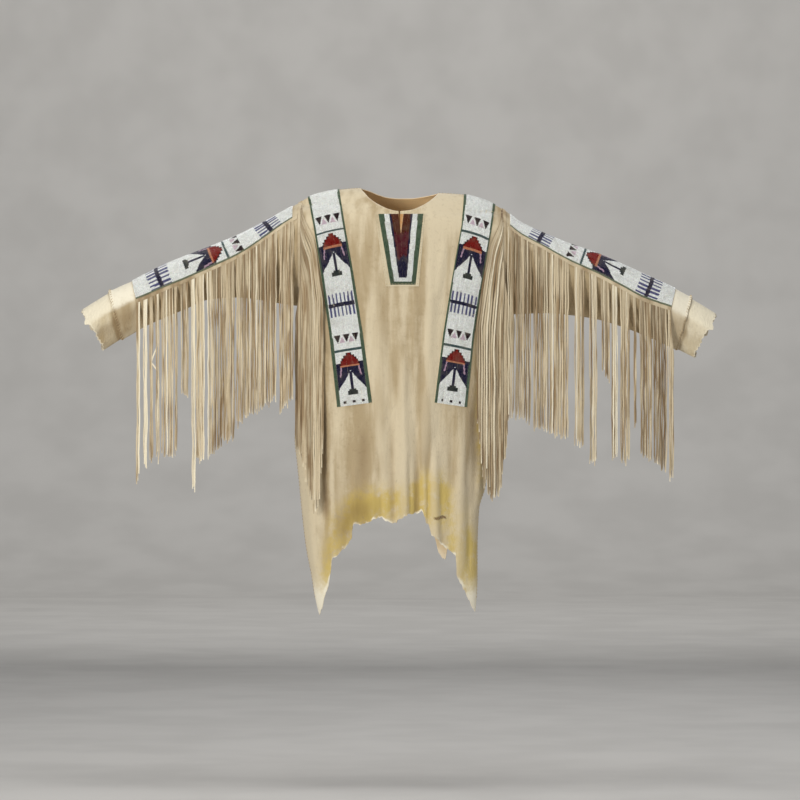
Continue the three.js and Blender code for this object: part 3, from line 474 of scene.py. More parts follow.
def wear_and_painted_shading():
    """How old hide is coloured: smoked in clouds and streaks, stained with ochre, soiled, and worn pale at its edges.
    Painted light is mixed in too: painted shade in the troughs of its folds and a painted highlight on their ridges,
    and painted shade and highlights on the sleeves and cuffs."""
    sockets = {tint: ("NodeSocketColor", (0.5, 0.5, 0.5, 1)) for tint in TINTS}
    sockets.update({mark: ("NodeSocketFloat", 0.0) for mark in MARKS})
    group, given, result = new_group("smoke and wear", sockets, {"Colour": "NodeSocketColor"})
    place = object_place(group)
    cloud = noise(group, object_place(group, 0.45), 7, 6)
    # The long upright streaks stand in for the light and shade of soft folds as well as for smoked tone: painted
    # shade and highlight.
    streak_and_fold_shade = noise(group, object_place(group, 0.11), 40, 4)
    fleck = noise(group, place, 95, 4, Roughness=0.65)
    blotch = noise(group, place, 38, 6, Roughness=0.7)
    smoke_and_shading = reckon(group, "ADD", cloud, reckon(group, "MULTIPLY", streak_and_fold_shade, 1.3))
    smoke_and_shading = reckon(group, "ADD", smoke_and_shading, reckon(group, "MULTIPLY", given["Smoke_and_shading"], reckon(group, "ADD", blotch, 0.1)))
    painted = reckon(group, "MULTIPLY", given["Painted"], spread_range(group, blotch, 0.12, 0.74))
    # Painted shade and highlight: below 0 the folds' mark darkens troughs towards the soil colour, and above 0 it
    # lightens ridges towards the pale colour. The handled mark adds painted shade as well as soil, and the rubbed
    # mark painted highlights as well as wear.
    sunk = reckon(group, "MULTIPLY", given["Fold_shading_and_tone"], -1.0)
    worn = reckon(group, "MULTIPLY", given["Handled_and_shade"], cloud)
    rubbed_and_highlight = reckon(group, "MULTIPLY", given["Rubbed_and_highlight"], reckon(group, "ADD", fleck, 0.4))
    base = given["Pale"]
    for mask, low, high, most, tint in (
        (smoke_and_shading, 0.93, 1.5, 1.0, "Smoked_and_shade"), (fleck, 0.52, 0.78, 0.22, "Soil_and_shade"), (painted, 0.03, 0.85, 0.9, "Ochre"),
        (sunk, 0.2, 1.6, 0.55, "Soil_and_shade"), (given["Fold_shading_and_tone"], 0.1, 1.2, 0.5, "Pale"), (worn, 0.05, 0.6, 0.8, "Soil_and_shade"),
        (rubbed_and_highlight, 0.1, 0.8, 0.95, "Bare_and_highlight"),
    ):  # fmt: skip
        base = blend_colour(group, spread_range(group, mask, low, high, 0.0, most), base, given[tint])
    group.links.new(base, result["Colour"])
    return group


nap_group = suede_nap()
wear_and_shading_group = wear_and_painted_shading()


def mark_of(tree, name):
    return add_node(tree, "Attribute", attribute_name=name).outputs["Fac"]


def tanned(name, tints, inside=None, creases=0.3, bump=0.0013):
    """A tanned hide with its nap, its smoked, ochre-stained and worn colours, and the painted shade and
    highlights of its folds. tints are in the order of TINTS.
    """
    material, tree, shader = new_material(name)
    nap = add_node(tree, "Group", node_tree=nap_group)
    set_inputs(tree, nap, {"Creases": creases})
    colours_and_shading = add_node(tree, "Group", node_tree=wear_and_shading_group)
    set_inputs(tree, colours_and_shading, {key: colour(*tint) for key, tint in zip(TINTS, tints)})
    set_inputs(tree, colours_and_shading, {mark: mark_of(tree, mark.lower()) for mark in MARKS})
    base = colours_and_shading.outputs["Colour"]
    if inside:
        base = blend_colour(tree, mark_of(tree, "inside"), base, colour(*inside))
    looks = {
        "Base Color": base,
        "Roughness": spread_range(tree, nap.outputs["Brushed"], 0, 1, 0.86, 0.98),
        "Specular IOR Level": 0.22,
        "Sheen Weight": 0.14,
        "Sheen Roughness": 0.6,
        "Normal": bumped(tree, nap.outputs["Height"], bump, 0.55),
    }
    set_inputs(tree, shader, looks)
    return material


def attach(piece, node):
    """Says which body a piece rides on and which part of the frame it replaces."""
    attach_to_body(piece, "root")
    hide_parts(node)


# The buckskin's inside colour is brighter and warmer than its outside: painted light on the inner walls, strongest
# near the top, where the back's inner side shows through the neck.
buckskin = tanned(
    "smoked buckskin",
    [(218, 203, 172), (180, 160, 125), (122, 96, 62), (246, 238, 216), (208, 182, 98)],
    inside=(252, 216, 160),
)

# Where the hides are rubbed with ochre, smoked (or pale, where the strength is below 0) and soiled. Some of
# the smoked and pale patches are painted light: the narrow upright ones paint the shade and highlight of folds,
# the pale ones beside the neck are painted highlights on the tops of the shoulders, and the broad dark one under
# the bib is painted shade.
OCHRE_PATCHES = [  # (x, z, half width, half height, strength), as in the next two tables
    (-96, -790, 40, 52, 1.1), (-52, -782, 32, 44, 0.9), (-14, -776, 28, 42, 0.7), (24, -770, 26, 44, 1.1),
    (54, -756, 18, 60, 1.2), (94, -772, 28, 60, 2.1), (-136, -838, 28, 54, 1.0), (-166, -900, 22, 90, 0.5),
    (172, -930, 24, 80, 1.7), (-182, -970, 30, 80, 0.7), (196, -520, 14, 160, 0.6), (148, -810, 26, 80, 0.5),
    (130, -880, 22, 40, 0.6), (202, -680, 12, 120, 0.5), (-232, -560, 16, 120, 0.35),
]  # fmt: skip
SMOKE_AND_SHADING_PATCHES = [
    (4, -330, 74, 110, 0.45), (54, -200, 13, 110, 0.8), (44, -330, 12, 80, 0.5), (-50, -130, 15, 90, 0.4),
    (-96, -330, 34, 110, 0.3), (-104, -650, 74, 190, 0.9), (60, -640, 34, 130, 0.4), (-196, -420, 34, 260, 0.7),
    (206, -400, 44, 240, 0.6), (24, -460, 26, 180, 0.3), (120, -700, 24, 150, 0.3), (-20, -90, 44, 34, -0.5),
    (-124, -30, 50, 50, -0.25), (120, -46, 64, 60, -0.7), (86, -380, 16, 240, -0.6), (-72, -420, 14, 240, -0.4),
    (-222, -800, 40, 240, -1.0), (166, -880, 34, 160, -0.8), (-186, -640, 12, 180, 0.7), (-176, -780, 7, 90, 0.6),
    (88, -620, 9, 220, -0.7), (30, -560, 14, 200, -0.5), (62, -660, 14, 160, 0.6),
    (0, -620, 60, 150, -0.6), (70, -790, 80, 80, -1.2), (-150, -560, 34, 160, -0.3), (-150, -140, 40, 120, 0.5),
    (-70, -190, 22, 70, 0.5), (92, -250, 18, 130, -0.4),
]  # fmt: skip
SOILED_PATCHES = [(-100, -790, 60, 50, 0.75), (-140, -850, 34, 46, 0.45), (44, -720, 14, 60, 0.4)]
# The front's legs are worn bare; on the back the paleness is a painted highlight where its leg lies in the front
# hide's shadow.
PALE_LEGS_BELOW = {"front": 940, "back": 848}  # how far below the shoulders the legs are paler
# The tear is not cut into the mesh: its darkness is a line of painted shadow where the cut would open.
TEAR = (100, -811, 15, 1.9)  # a short cut beside the hem: its middle, half its width and half its height


def patches(table, x, z):
    total = 0 * x
    for at_x, at_z, wide, tall, strength in table:
        total = total + strength * np.exp(-(((x - at_x) / wide) ** 2) - ((z - at_z) / tall) ** 2)
    return np.clip(total, -1.2, 1.2)


def fine_columns(face, spacing):
    """Columns spaced evenly over a hide, with every guide among them and closer ones beside the seams."""
    guides = GUIDES[face]
    columns = [0.0]
    for a, b in zip(guides[:-1], guides[1:]):
        wide = max(abs(b[1] - a[1]), abs(b[3] - a[3]))
        steps = max(2, round(wide / spacing), 5 if wide < 12 else 0)
        columns += list(a[0] + (b[0] - a[0]) * np.arange(1, steps + 1) / steps)
    return np.array(columns)


def fine_levels(counts):
    """Levels from the top edge to the hem, closer together where the hide turns over the shoulder."""
    first = np.linspace(0, 1, counts[0] + 1)[:-1] ** 1.8
    rest = [i + 1 + np.arange(count) / count for i, count in enumerate(counts[1:])]
    return np.concatenate([first, *rest, [5.0]])


def hide_marks(face, points, levels):
    x, z = points[..., 0], points[..., 2]
    # Painted shade and highlight: the folds and unevenness that shape the hide also darken its troughs and lighten
    # its ridges.
    fold_shading_and_tone = (fold_rise(FOLDS[face] + FINE_FOLDS[face], x, z) + 1.3 * limpness(face, x, z)) / 5.5
    near_hem = ease((levels[:, None] - 4.965) / 0.035)
    armholes = np.exp(-(((x - ARMHOLE_X["left"]) / 34) ** 2)) + np.exp(-(((x - ARMHOLE_X["right"]) / 34) ** 2))
    at_neck = ease(1 - levels[:, None] * 5) * (x > NECK_EDGE[face][0][0]) * (x < NECK_EDGE[face][-1][0])
    frayed = near_hem * (0.4 + 0.9 * ripple(8, x / 11, z / 11))
    torn = 0 * x
    # The tear: a dark line of painted shadow, with no ochre on it.
    if face == "front":
        torn_x, torn_z, wide, tall = TEAR
        off_line = z - torn_z - (x - torn_x) * 0.1 - 1.4 * np.sin((x - torn_x) / 4.5)
        torn = np.exp(-(((x - torn_x) / wide) ** 6) - (off_line / tall) ** 2)
    return {
        "fold_shading_and_tone": fold_shading_and_tone - 6 * torn,
        "handled_and_shade": 0.45 * armholes * ease((z + 900) / 400) + patches(SOILED_PATCHES, x, z) + 3 * torn,
        "painted": patches(OCHRE_PATCHES, x, z) * (1 - torn),
        "smoke_and_shading": patches(SMOKE_AND_SHADING_PATCHES, x, z),
        "rubbed_and_highlight": frayed + 0.4 * at_neck + 0.2 * ease((-z - 840) / 90) + 0.9 * ease((-z - PALE_LEGS_BELOW[face]) / 110),
    }


front_columns = fine_columns("front", 3.8)
middle = int(np.argmin(np.abs(front_columns - SLIT_COLUMN)))
front_columns, front_parts = split_columns(front_columns, middle)
front_levels = fine_levels([18, 38, 12, 50, 92])
front_points, front_normals = hide_grid("front", front_columns, front_levels, front_parts)
slit_row = int(np.argmax(front_points[:, middle, 2] <= SLIT_FOOT_Z))
front_hide = cloth(
    "front_hide_skin",
    front_points,
    front_normals,
    buckskin,
    hide_marks("front", front_points, front_levels),
    slit=(middle, slit_row),
)
back_columns, back_levels = fine_columns("back", 6.0), fine_levels([16, 26, 9, 36, 62])
back_points, back_normals = hide_grid("back", back_columns, back_levels)
back_hide = cloth(
    "back_hide_skin", back_points, back_normals, buckskin, hide_marks("back", back_points, back_levels)
)
for piece, node, flat, area in (
    (front_hide, "front_hide", (0.61, 1.11), 0.48),
    (back_hide, "back_hide", (0.60, 1.09), 0.47),
):
    attach(piece, node)


# Sleeves: each is one piece of hide folded over at the top, set into the armhole and hanging fuller above
# than below, with loose waves in its lower half.
SLEEVES = {  # (upper edge x, z, lower edge x, z, half depth, band down the front, band over to the back)
    "left": [
        (-252, -32, -252, -285, 55, 30, 22), (-285, -50, -290, -280, 54, 33, 22),
        (-334, -77, -342, -271, 52, 42, 19), (-396, -109, -406, -264, 49, 51, 15),
        (-465, -138, -478, -270, 46, 55, 13), (-530, -163, -530, -292, 43, 56, 12),
        (-587, -186, -574, -310, 40, 54, 12), (-664, -225, -636, -338, 37.3, 46, 12),
        (-690, -236, -661, -353, 35.6, 43, 12), (-722, -251, -691, -370, 34, 40, 12),
    ],
    "right": [
        (264, -50, 264, -307, 55, 30, 22), (297, -77, 304, -305, 54, 31, 22), (354, -104, 359, -303, 52, 35, 20),
        (421, -132, 426, -308, 49, 44, 16), (490, -156, 490, -318, 46, 50, 14), (550, -182, 545, -334, 43, 54, 12),
        (602, -206, 587, -349, 40, 56, 12), (686, -244, 652, -377, 36.4, 47, 12),
        (705, -254, 673, -387, 35.2, 43.5, 12), (726, -265, 691, -395, 34, 40, 12),
    ],
}  # fmt: skip
MOUTH = 9  # the last of a sleeve's stations
FRINGE_STRIP = 9  # width of the strip that a fringe is cut from


def share_of(turn):
    """The share of a sleeve's height from its top edge, at a turn round it."""
    return (1 - np.cos(turn)) / 2


def station(side, at):
    """A sleeve's measures at a place between its stations."""
    rows = SLEEVES[side]
    return [curved([(i, row[k]) for i, row in enumerate(rows)], at) for k in range(7)]


def sleeve_points(side, at, turn):
    """Points on a sleeve at a station and a turn round it: 0 is the top edge, up to pi is the front and
    down to -pi is the back."""
    top_x, top_z, foot_x, foot_z, deep, _, _ = station(side, at)
    share = share_of(turn)
    x, z = top_x + (foot_x - top_x) * share, top_z + (foot_z - top_z) * share
    loose = ease(at) * ease(MOUTH - 1 - at)
    wave = 3.5 * np.sin(x / 19 + 3 * share) * ease((share - 0.45) * 3) * ease((1 - share) * 5) * loose
    soft = 1.1 * ripple(31, x / 24, z / 30) + 0.5 * ripple(32, x / 11, z / 16)
    soft = soft * loose * ease(share * 6) * ease((1 - share) * 6)
    depth = deep * sleeve_profile(share) + wave + soft
    return np.stack([x, -np.sign(turn) * depth, z], -1)


def sleeve_grid(side, at, turn):
    """A grid on the sleeve with its normals. at runs down the rows, and turn is one row, or one for each."""
    points = sleeve_points(side, at[:, None] + 0 * turn, turn + 0 * at[:, None])
    top_x, top_z, foot_x, foot_z, _, _, _ = station(side, at[:, None])
    centre = np.stack([(top_x + foot_x) / 2, 0 * top_x, (top_z + foot_z) / 2], -1)
    return points, points - centre


ROUND_TURNS = np.linspace(-np.pi, np.pi, 97)[:-1]
MOUTH_FLARE = 3.2  # how far a sleeve's edge stands off the cuff along its top
sleeve_stations = np.concatenate([np.linspace(0, 1, 12)[:-1], np.linspace(1, MOUTH, 104)])
for side, away in (("left", -1), ("right", 1)):
    points, from_centre = sleeve_grid(side, sleeve_stations, ROUND_TURNS)
    normals = outward(points, from_centre, loop=True)
    share = share_of(ROUND_TURNS)
    near_mouth = ease((sleeve_stations[:, None] - 8.7) / 0.3)
    puckers = near_mouth * (MOUTH_FLARE * ease(1 - share * 3) + 1.3 * np.sin(ROUND_TURNS * 11) * ease(share * 4))
    points = points + unit(normals) * puckers[..., None]
    points[0, :, 0] += away * SEAM
    normals[0, :, 0] = 0
    bare = ease((sleeve_stations[:, None] - 6.8) / 0.4)
    # Painted light on the sleeves: the fold mark follows the unevenness that shapes them, darkening hollows and
    # lightening humps; beyond the band the top is paler as a painted highlight and the underside darker as painted
    # shade; near the mouth the top is paler and the rest darker, also painted highlight and shade.
    fold_shading_and_tone = 0.9 * ripple(31, points[..., 0] / 24, points[..., 2] / 30) - 0.5 * near_mouth * ease(share * 3)
    marks = {
        "fold_shading_and_tone": fold_shading_and_tone,
        "handled_and_shade": 0.25 + 0.25 * bare * ease((share - 0.35) * 4) + 0.5 * near_mouth * ease(share * 3),
        "rubbed_and_highlight": 0.85 * bare * ease((0.5 - share) * 5) + 0.5 * near_mouth * ease(1 - share * 3),
        "smoke_and_shading": 0.7 * (1 - bare) * ease(share * 3),
    }
    sleeve = cloth(f"sleeve_{side}_skin", points, unit(normals), buckskin, marks, loop=True)
    attach(sleeve, f"sleeve_{side}")


# Cuffs: a short turned piece of paler hide let into each sleeve's mouth, worn ragged at its end. Painted shade
# darkens its lower half and its seam, and a painted highlight lightens its top.
CUFF_ENDS = {"left": (-792, -297, -738, -396), "right": (790, -307, 735, -414)}
CUFF_INSET = HIDE + 1.2
CUFF_LAP = 14  # how far a cuff runs inside its sleeve
# How dark the painted shade on each cuff's lower half is.
CUFF_UNDERSIDE_SHADE = {"left": 0.75, "right": 0.3}
pale_hide = tanned(
    "pale hide",
    [(228, 216, 188), (204, 186, 150), (138, 114, 78), (240, 230, 204), (186, 162, 104)],
    inside=(162, 138, 102),
    creases=0.5,
    bump=0.0018,
)


def cuff_grid(side):
    top_x, top_z, foot_x, foot_z, deep, _, _ = [float(v) for v in station(side, np.array(float(MOUTH)))]
    before = [float(v) for v in station(side, np.array(MOUTH - 1.0))]
    along = unit(np.array([top_x - before[0], top_z - before[1]]))
    down = unit(np.array([foot_x - top_x, foot_z - top_z]))
    lap = CUFF_LAP / np.hypot(top_x - before[0], top_z - before[1])
    inner = [top_x, top_z, foot_x, foot_z]
    start = [a + (b - a) * lap for a, b in zip(inner, before[:4])]
    rows = []
    for line, shift in ((start, 0), (inner, 3)):
        top = np.array(line[:2]) + down * CUFF_INSET + along * shift
        foot = np.array(line[2:]) - down * CUFF_INSET + along * shift
        rows.append([*top, *foot, deep - CUFF_INSET])
    rows.append([*CUFF_ENDS[side], 36])
    at = np.concatenate([np.linspace(0, 1, 5)[:-1], np.linspace(1, 2, 30)])[:, None]
    top_x, top_z, foot_x, foot_z, deep = [straight([(i, row[k]) for i, row in enumerate(rows)], at) for k in range(5)]
    turn = ROUND_TURNS[None, :]
    share = share_of(turn)
    out = ease(at - 1)
    pleats = out * (3.4 * np.sin(turn * 5 + 1.1) + 2.0 * ripple(41, turn * 3 + 9, at * 2))
    x, z = top_x + (foot_x - top_x) * share, top_z + (foot_z - top_z) * share
    depth = deep * sleeve_profile(share) + pleats * ease(share * 5) * ease((1 - share) * 5)
    torn = 6 * ripple(42, turn * 4.2 + 20, 0 * turn) + 3 * ripple(43, turn * 12 + 40, 0 * turn)
    reach = torn * ease((at - 1.6) / 0.4)
    points = np.stack([x + along[0] * reach, -np.sign(turn) * depth, z + along[1] * reach], -1)
    return points, at


for side in ("left", "right"):
    points, at = cuff_grid(side)
    centre = points.mean(axis=1, keepdims=True)
    normals = outward(points, points - centre, loop=True)
    lower = share_of(ROUND_TURNS)
    edge = ease((at - 1.9) / 0.1)
    creased = ripple(44, points[..., 0] / 11, points[..., 2] / 21)
    # Painted light: the lower half is darkened and tinted towards ochre as painted shade, a band of painted shade
    # runs along the seam, and the top is paler as a painted highlight. The creases are a random tone, and the ragged
    # end is worn pale.
    marks = {
        "fold_shading_and_tone": 0.8 * creased - 1.1 * np.exp(-(((at - 1.05) / 0.1) ** 2)) * ease(lower * 4),
        "handled_and_shade": CUFF_UNDERSIDE_SHADE[side] * ease((lower - 0.42) * 4) + 0.5 * np.exp(-(((at - 1) / 0.12) ** 2)),
        "rubbed_and_highlight": 0.9 * ease((0.46 - lower) * 6) + 0.8 * edge,
        "painted": 0.3 * ease((lower - 0.5) * 3) + 0 * at,
    }
    cuff = cloth(f"cuff_{side}_skin", points, normals, pale_hide, marks, loop=True)
    attach(cuff, f"cuff_{side}")


# Shoulder bands: a strip of seed beads in lanes on its own hide backing runs from the back over each shoulder
# and down the front. Each bead is one raised cell, and each lane stands in a low hump between its stitches.
BACKING = 1.0
BACKING_LIFT = HIDE / 2 + SEAM + BACKING / 2
BEAD_FLOOR = HIDE / 2 + SEAM + BACKING - 0.05
LANE_HUMP = 0.65
BEAD_RISE = 0.95
BEAD_ROW = 2.0  # a bead's size along a band
BAND_WIDTH = 87
BAND_SLANT = {"left": 0.135, "right": -0.135}  # how steeply the foot of a band rises to the right
INNER_HALF = 35  # half the width between a band's borders
BEAD_CORNERS = ((0, 0), (0, 1), (1, 1), (1, 0))
MOTIF = 296  # length of the repeating tipi, peak and comb
TIPI_END = 149  # up to here the motif has the same length on each band
BEAD_COLOURS = {
    "white": (242, 244, 240), "lavender": (216, 196, 206), "green": (88, 108, 86), "dark": (52, 38, 42),
    "line": (78, 98, 98), "red": (136, 32, 26), "orange": (204, 140, 106), "pink": (196, 166, 184),
    "navy": (42, 40, 68), "grey": (96, 98, 140), "brown": (98, 54, 38), "maroon": (98, 36, 46),
    "sage": (128, 136, 112), "slate": (58, 64, 62),
}  # fmt: skip
BEAD_NUMBER = {name: i for i, name in enumerate(BEAD_COLOURS)}
SHOULDER_EDGES = {  # (z, x) down a band's left and right edges
    "left": (
        [(-17, -227), (-89, -212), (-203, -194), (-354, -173), (-532, -154), (-560, -151)],
        [(2, -149), (-89, -134), (-203, -114), (-354, -90), (-532, -66), (-560, -62)],
    ),
    "right": (
        [(-10, 160), (-89, 153), (-165, 139), (-240, 126), (-354, 108), (-532, 85), (-560, 81)],
        [(-34, 238), (-89, 229), (-165, 215), (-240, 202), (-354, 185), (-532, 167), (-560, 163)],
    ),
}
SHOULDER_MOTIF = {"left": (-63, 296), "right": (-70.6, 280)}  # z of the first motif, and its length


def bead_material():
    """Glass seed beads: the colour is each bead's own, and its rounding is in the bump."""
    material, tree, shader = new_material("glass seed beads")
    own = add_node(tree, "Attribute", attribute_name="bead colour").outputs["Color"]
    spot = add_node(tree, "UVMap", uv_map="bead").outputs["UV"]
    centred = add_node(tree, "VectorMath", {0: spot, 1: (-0.5, -0.5, 0)}, operation="ADD").outputs[0]
    radius = add_node(tree, "VectorMath", {0: centred}, operation="LENGTH").outputs["Value"]
    dust = noise(tree, object_place(tree), 60, 4)
    aged = blend_colour(tree, spread_range(tree, dust, 0.45, 0.75, 0.0, 0.22), own, colour(150, 140, 118))
    # Painted shade: the corners of each bead's cell, between the beads, are darkened.
    shade_between_beads = spread_range(tree, radius, 0.46, 0.66, 0.0, 0.75)
    looks = {
        "Base Color": blend_colour(tree, shade_between_beads, aged, colour(40, 36, 32)),
        "Roughness": spread_range(tree, dust, 0.3, 0.7, 0.22, 0.42),
        "IOR": 1.5,
        "Normal": bumped(tree, spread_range(tree, radius, 0.12, 0.66, 1.0, 0.0), 0.0004, 0.6),
    }
    set_inputs(tree, shader, looks)
    return material


seed_beads = bead_material()
backing_hide = tanned(
    "backing hide",
    [(226, 214, 184), (200, 184, 148), (136, 112, 78), (248, 242, 224), (214, 148, 82)],
    inside=(176, 152, 116),
)


def strip_pattern(along, off, half=np.inf):
    """The colour numbers of a band's beads. along is the distance down the motif, off the one from its middle,
    and half the one at which a border starts, if there is one."""
    step = np.clip(np.floor((along - 45.5) / 6), 0, 4).astype(int)
    cap = np.array([4, 10, 15.5, 20, 23])[step]
    peak = np.interp(along, [89, 101, 117, 128, 139], [0, 7.6, 19, 29, 36])
    leg = 22 + 4 * (along - 81) / 23
    beside = np.abs(off)
    from_peak = np.abs(beside - 22.7 * np.round(beside / 22.7))
    from_gap = np.abs(beside - 11.35)
    tooth = np.abs((beside + 5) % 10 - 5)
    narrow = beside < 33
    rules = [  # (from, to, shape, colour), the uppermost first
        (0, MOTIF, beside > half, "green"),
        (0, 19.5, (from_peak < 8.4 * (1 - along / 20)) & narrow, "dark"),
        (5, 19.5, (from_gap < (along - 5) * 0.5) & narrow, "lavender"),
        (36.5, 42, True, "line"),
        (45.5, 75.5, beside < cap, "red"),
        (45.5, 75.5, beside < cap + 3, "dark"),
        (71, 81, beside > 24.5, "navy"),
        (75.5, 81, beside <= 24.5, "orange"),
        (81, 104, np.abs(beside - leg) < 1.9, "pink"),
        (92, 137, beside < 2.9, "navy"),
        (137, 150, beside < np.where(along < 141, 8, 13), "slate"),
        (81, 139, beside > peak, "navy"),
        (216, 226, beside < 34, "navy"),
        (192, 250, (tooth < 2.3) & (beside < 34), "grey"),
    ]
    shapes = [(along >= start) & (along < end) & shape for start, end, shape, _ in rules]
    return np.select(shapes, [BEAD_NUMBER[name] for *_, name in rules], BEAD_NUMBER["white"])


def bead_work(name, points, normals, pattern, lanes, seed, slit=None):
    """Beads on a grid of their corners. pattern holds a colour number for each bead, and lanes the columns
    where one lane of stitches ends and the next begins."""
    rows, cols = pattern.shape
    column = np.arange(cols + 1)
    start = np.array(lanes)[np.clip(np.searchsorted(lanes, column, side="right") - 1, 0, len(lanes) - 2)]
    end = np.array(lanes)[np.clip(np.searchsorted(lanes, column, side="right"), 1, len(lanes) - 1)]
    t = np.clip((column - start) / (end - start), 0, 1)
    hump = LANE_HUMP * (4 * t * (1 - t)) ** 0.6
    ends = np.clip(np.minimum(np.arange(rows + 1), rows - np.arange(rows + 1)) / 2, 0, 1)
    rng = np.random.default_rng(seed)
    base = points + normals * (BEAD_FLOOR + hump * ends[:, None])[..., None]
    four = [base[:-1, :-1], base[1:, :-1], base[1:, 1:], base[:-1, 1:]]
    rise = BEAD_RISE * rng.uniform(0.82, 1.08, (rows, cols, 1))
    tops = sum(four) / 4 + normals[:-1, :-1] * rise
    corner = np.arange((rows + 1) * (cols + 1)).reshape(rows + 1, cols + 1)
    if slit:
        corner[slit[1] :, slit[0] + 1] = corner[slit[1] :, slit[0]]
    ring = [corner[:-1, :-1], corner[1:, :-1], corner[1:, 1:], corner[:-1, 1:]]
    top = (rows + 1) * (cols + 1) + np.arange(rows * cols).reshape(rows, cols)
    faces = np.stack([np.stack([ring[i], ring[(i + 1) % 4], top], -1) for i in range(4)], 2)
    keep = np.ones((rows, cols), bool)
    if slit:
        keep[:, slit[0]] = False
    faces = faces[keep].reshape(-1, 3)
    places = np.concatenate([base.reshape(-1, 3), tops.reshape(-1, 3)])
    a, b, c = (places[faces[:, i]] for i in range(3))
    spots = np.array([(BEAD_CORNERS[i], BEAD_CORNERS[(i + 1) % 4], (0.5, 0.5)) for i in range(4)])
    if (np.cross(b - a, c - a) * np.repeat(normals[:-1, :-1][keep], 4, axis=0)).sum() < 0:
        faces, spots = faces[:, [1, 0, 2]], spots[:, [1, 0, 2]]
    palette = np.array([colour(*tint)[:3] for tint in BEAD_COLOURS.values()])
    own = palette[pattern] * rng.uniform(0.84, 1.1, (rows, cols, 1)) * rng.uniform(0.97, 1.03, (rows, cols, 3))
    own = np.concatenate([np.clip(own, 0, 1), np.ones((rows, cols, 1))], -1)[keep]
    piece = sew_up(name, places, faces, seed_beads, smooth=False)
    mesh = piece.data
    mesh.uv_layers.new(name="bead").data.foreach_set("uv", np.tile(spots.ravel(), len(own)))
    colours = mesh.color_attributes.new("bead colour", "FLOAT_COLOR", "CORNER")
    colours.data.foreach_set("color", np.repeat(own, 12, axis=0).ravel())
    return piece


def beaded_band(kind, side, points, normals, pattern, lanes, seed, every):
    """A band's beads, and its backing hide, whose grid takes only every few of the beads' columns."""
    beads = bead_work(f"{kind}_beads_{side}", points, normals, pattern, lanes, seed)
    rows, columns = np.r_[0 : len(points) : 3, len(points) - 1], np.r_[0 : lanes[-1] + 1 : every]
    coarse, facing = points[rows][:, columns], normals[rows][:, columns]
    marks = {"rubbed_and_highlight": np.full(coarse.shape[:2], 0.3)}
    backing = cloth(f"{kind}_backing_{side}", coarse, facing, backing_hide, marks, BACKING, BACKING_LIFT)
    attach(beads, f"{kind}_band_{side}")
    attach(backing, f"{kind}_band_{side}")
    return beads, backing


def even_rows(points, spacing):
    """Places between a grid's rows that are evenly spaced along its middle."""
    line = points[:, points.shape[1] // 2]
    run = np.concatenate([[0], np.cumsum(np.linalg.norm(np.diff(line, axis=0), axis=1))])
    count = round(run[-1] / spacing)
    return np.interp(np.linspace(0, run[-1], count + 1), run, np.arange(len(run)))


def rows_at(values, rows):
    """Reads a grid between its rows."""
    low = np.clip(np.floor(rows).astype(int), 0, len(values) - 2)
    t = (rows - low).reshape(-1, *[1] * (values.ndim - 1))
    return values[low] * (1 - t) + values[low + 1] * t


def shoulder_strip(side, columns):
    """A strip from the back's foot over the shoulder to the front's foot, and its normals."""
    left, right = SHOULDER_EDGES[side]
    t = np.linspace(0, 1, columns)
    top_x = left[0][1] + (right[0][1] - left[0][1]) * t
    top_z = curved(SHOULDER_LINE, top_x)
    foot_z = BAND_FOOT_Z + BAND_SLANT[side] * BAND_WIDTH * (t - 0.5)
    v = (np.linspace(0, 1, 500) ** 2)[:, None]
    z = top_z + (foot_z - top_z) * v
    x = straight(left, z) * (1 - t) + straight(right, z) * t
    x[0] = top_x
    faces = {}
    for face, sign in (("front", -1), ("back", 1)):
        y = sign * hide_depth(face, x, z)
        y[0] = 0
        faces[face] = np.stack([x, y, z], -1)
    points = np.concatenate([faces["back"][:0:-1], faces["front"]])
    towards = points * (0, 1, 0) + (0, 0, 30)
    rows = even_rows(points, BEAD_ROW)
    points = rows_at(points, rows)
    return points, outward(points, rows_at(towards, rows))


ALONG_BAND = 1.009  # length along a band for a unit of height, as it leans
DOT_APART = 23  # the dots across a band's foot
BORDER_BEADS = 5
LANE_BEADS = 8
for side in ("left", "right"):
    lanes = [0, BORDER_BEADS, *range(BORDER_BEADS + LANE_BEADS, BORDER_BEADS + 5 * LANE_BEADS + 1, LANE_BEADS)]
    lanes.append(lanes[-1] + BORDER_BEADS)
    points, normals = shoulder_strip(side, lanes[-1] + 1)
    width = np.linalg.norm(points[:, -1] - points[:, 0], axis=-1)[:-1, None]
    off = (np.arange(lanes[-1]) + 0.5 - lanes[-1] / 2) / lanes[-1] * width
    middle_z = points[:-1, points.shape[1] // 2, 2][:, None]
    start_z, motif = SHOULDER_MOTIF[side]
    down = (start_z - middle_z) * ALONG_BAND
    along = np.interp(down % motif, [0, TIPI_END, motif], [0, TIPI_END, MOTIF])
    pattern = strip_pattern(along + 0 * off, off, INNER_HALF)
    pattern[np.broadcast_to(down < 0, pattern.shape) & (np.abs(off) < INNER_HALF)] = BEAD_NUMBER["white"]
    dots = (np.abs(off - DOT_APART * np.round(off / DOT_APART)) < 3) & (np.abs(off) < 30)
    near_foot = np.abs(down - (start_z - BAND_FOOT_Z - 9) * ALONG_BAND) < 3
    pattern[dots & near_foot] = BEAD_NUMBER["dark"]
    beads, backing = beaded_band("shoulder", side, points, normals, pattern, lanes, 51 + len(side), every=5)


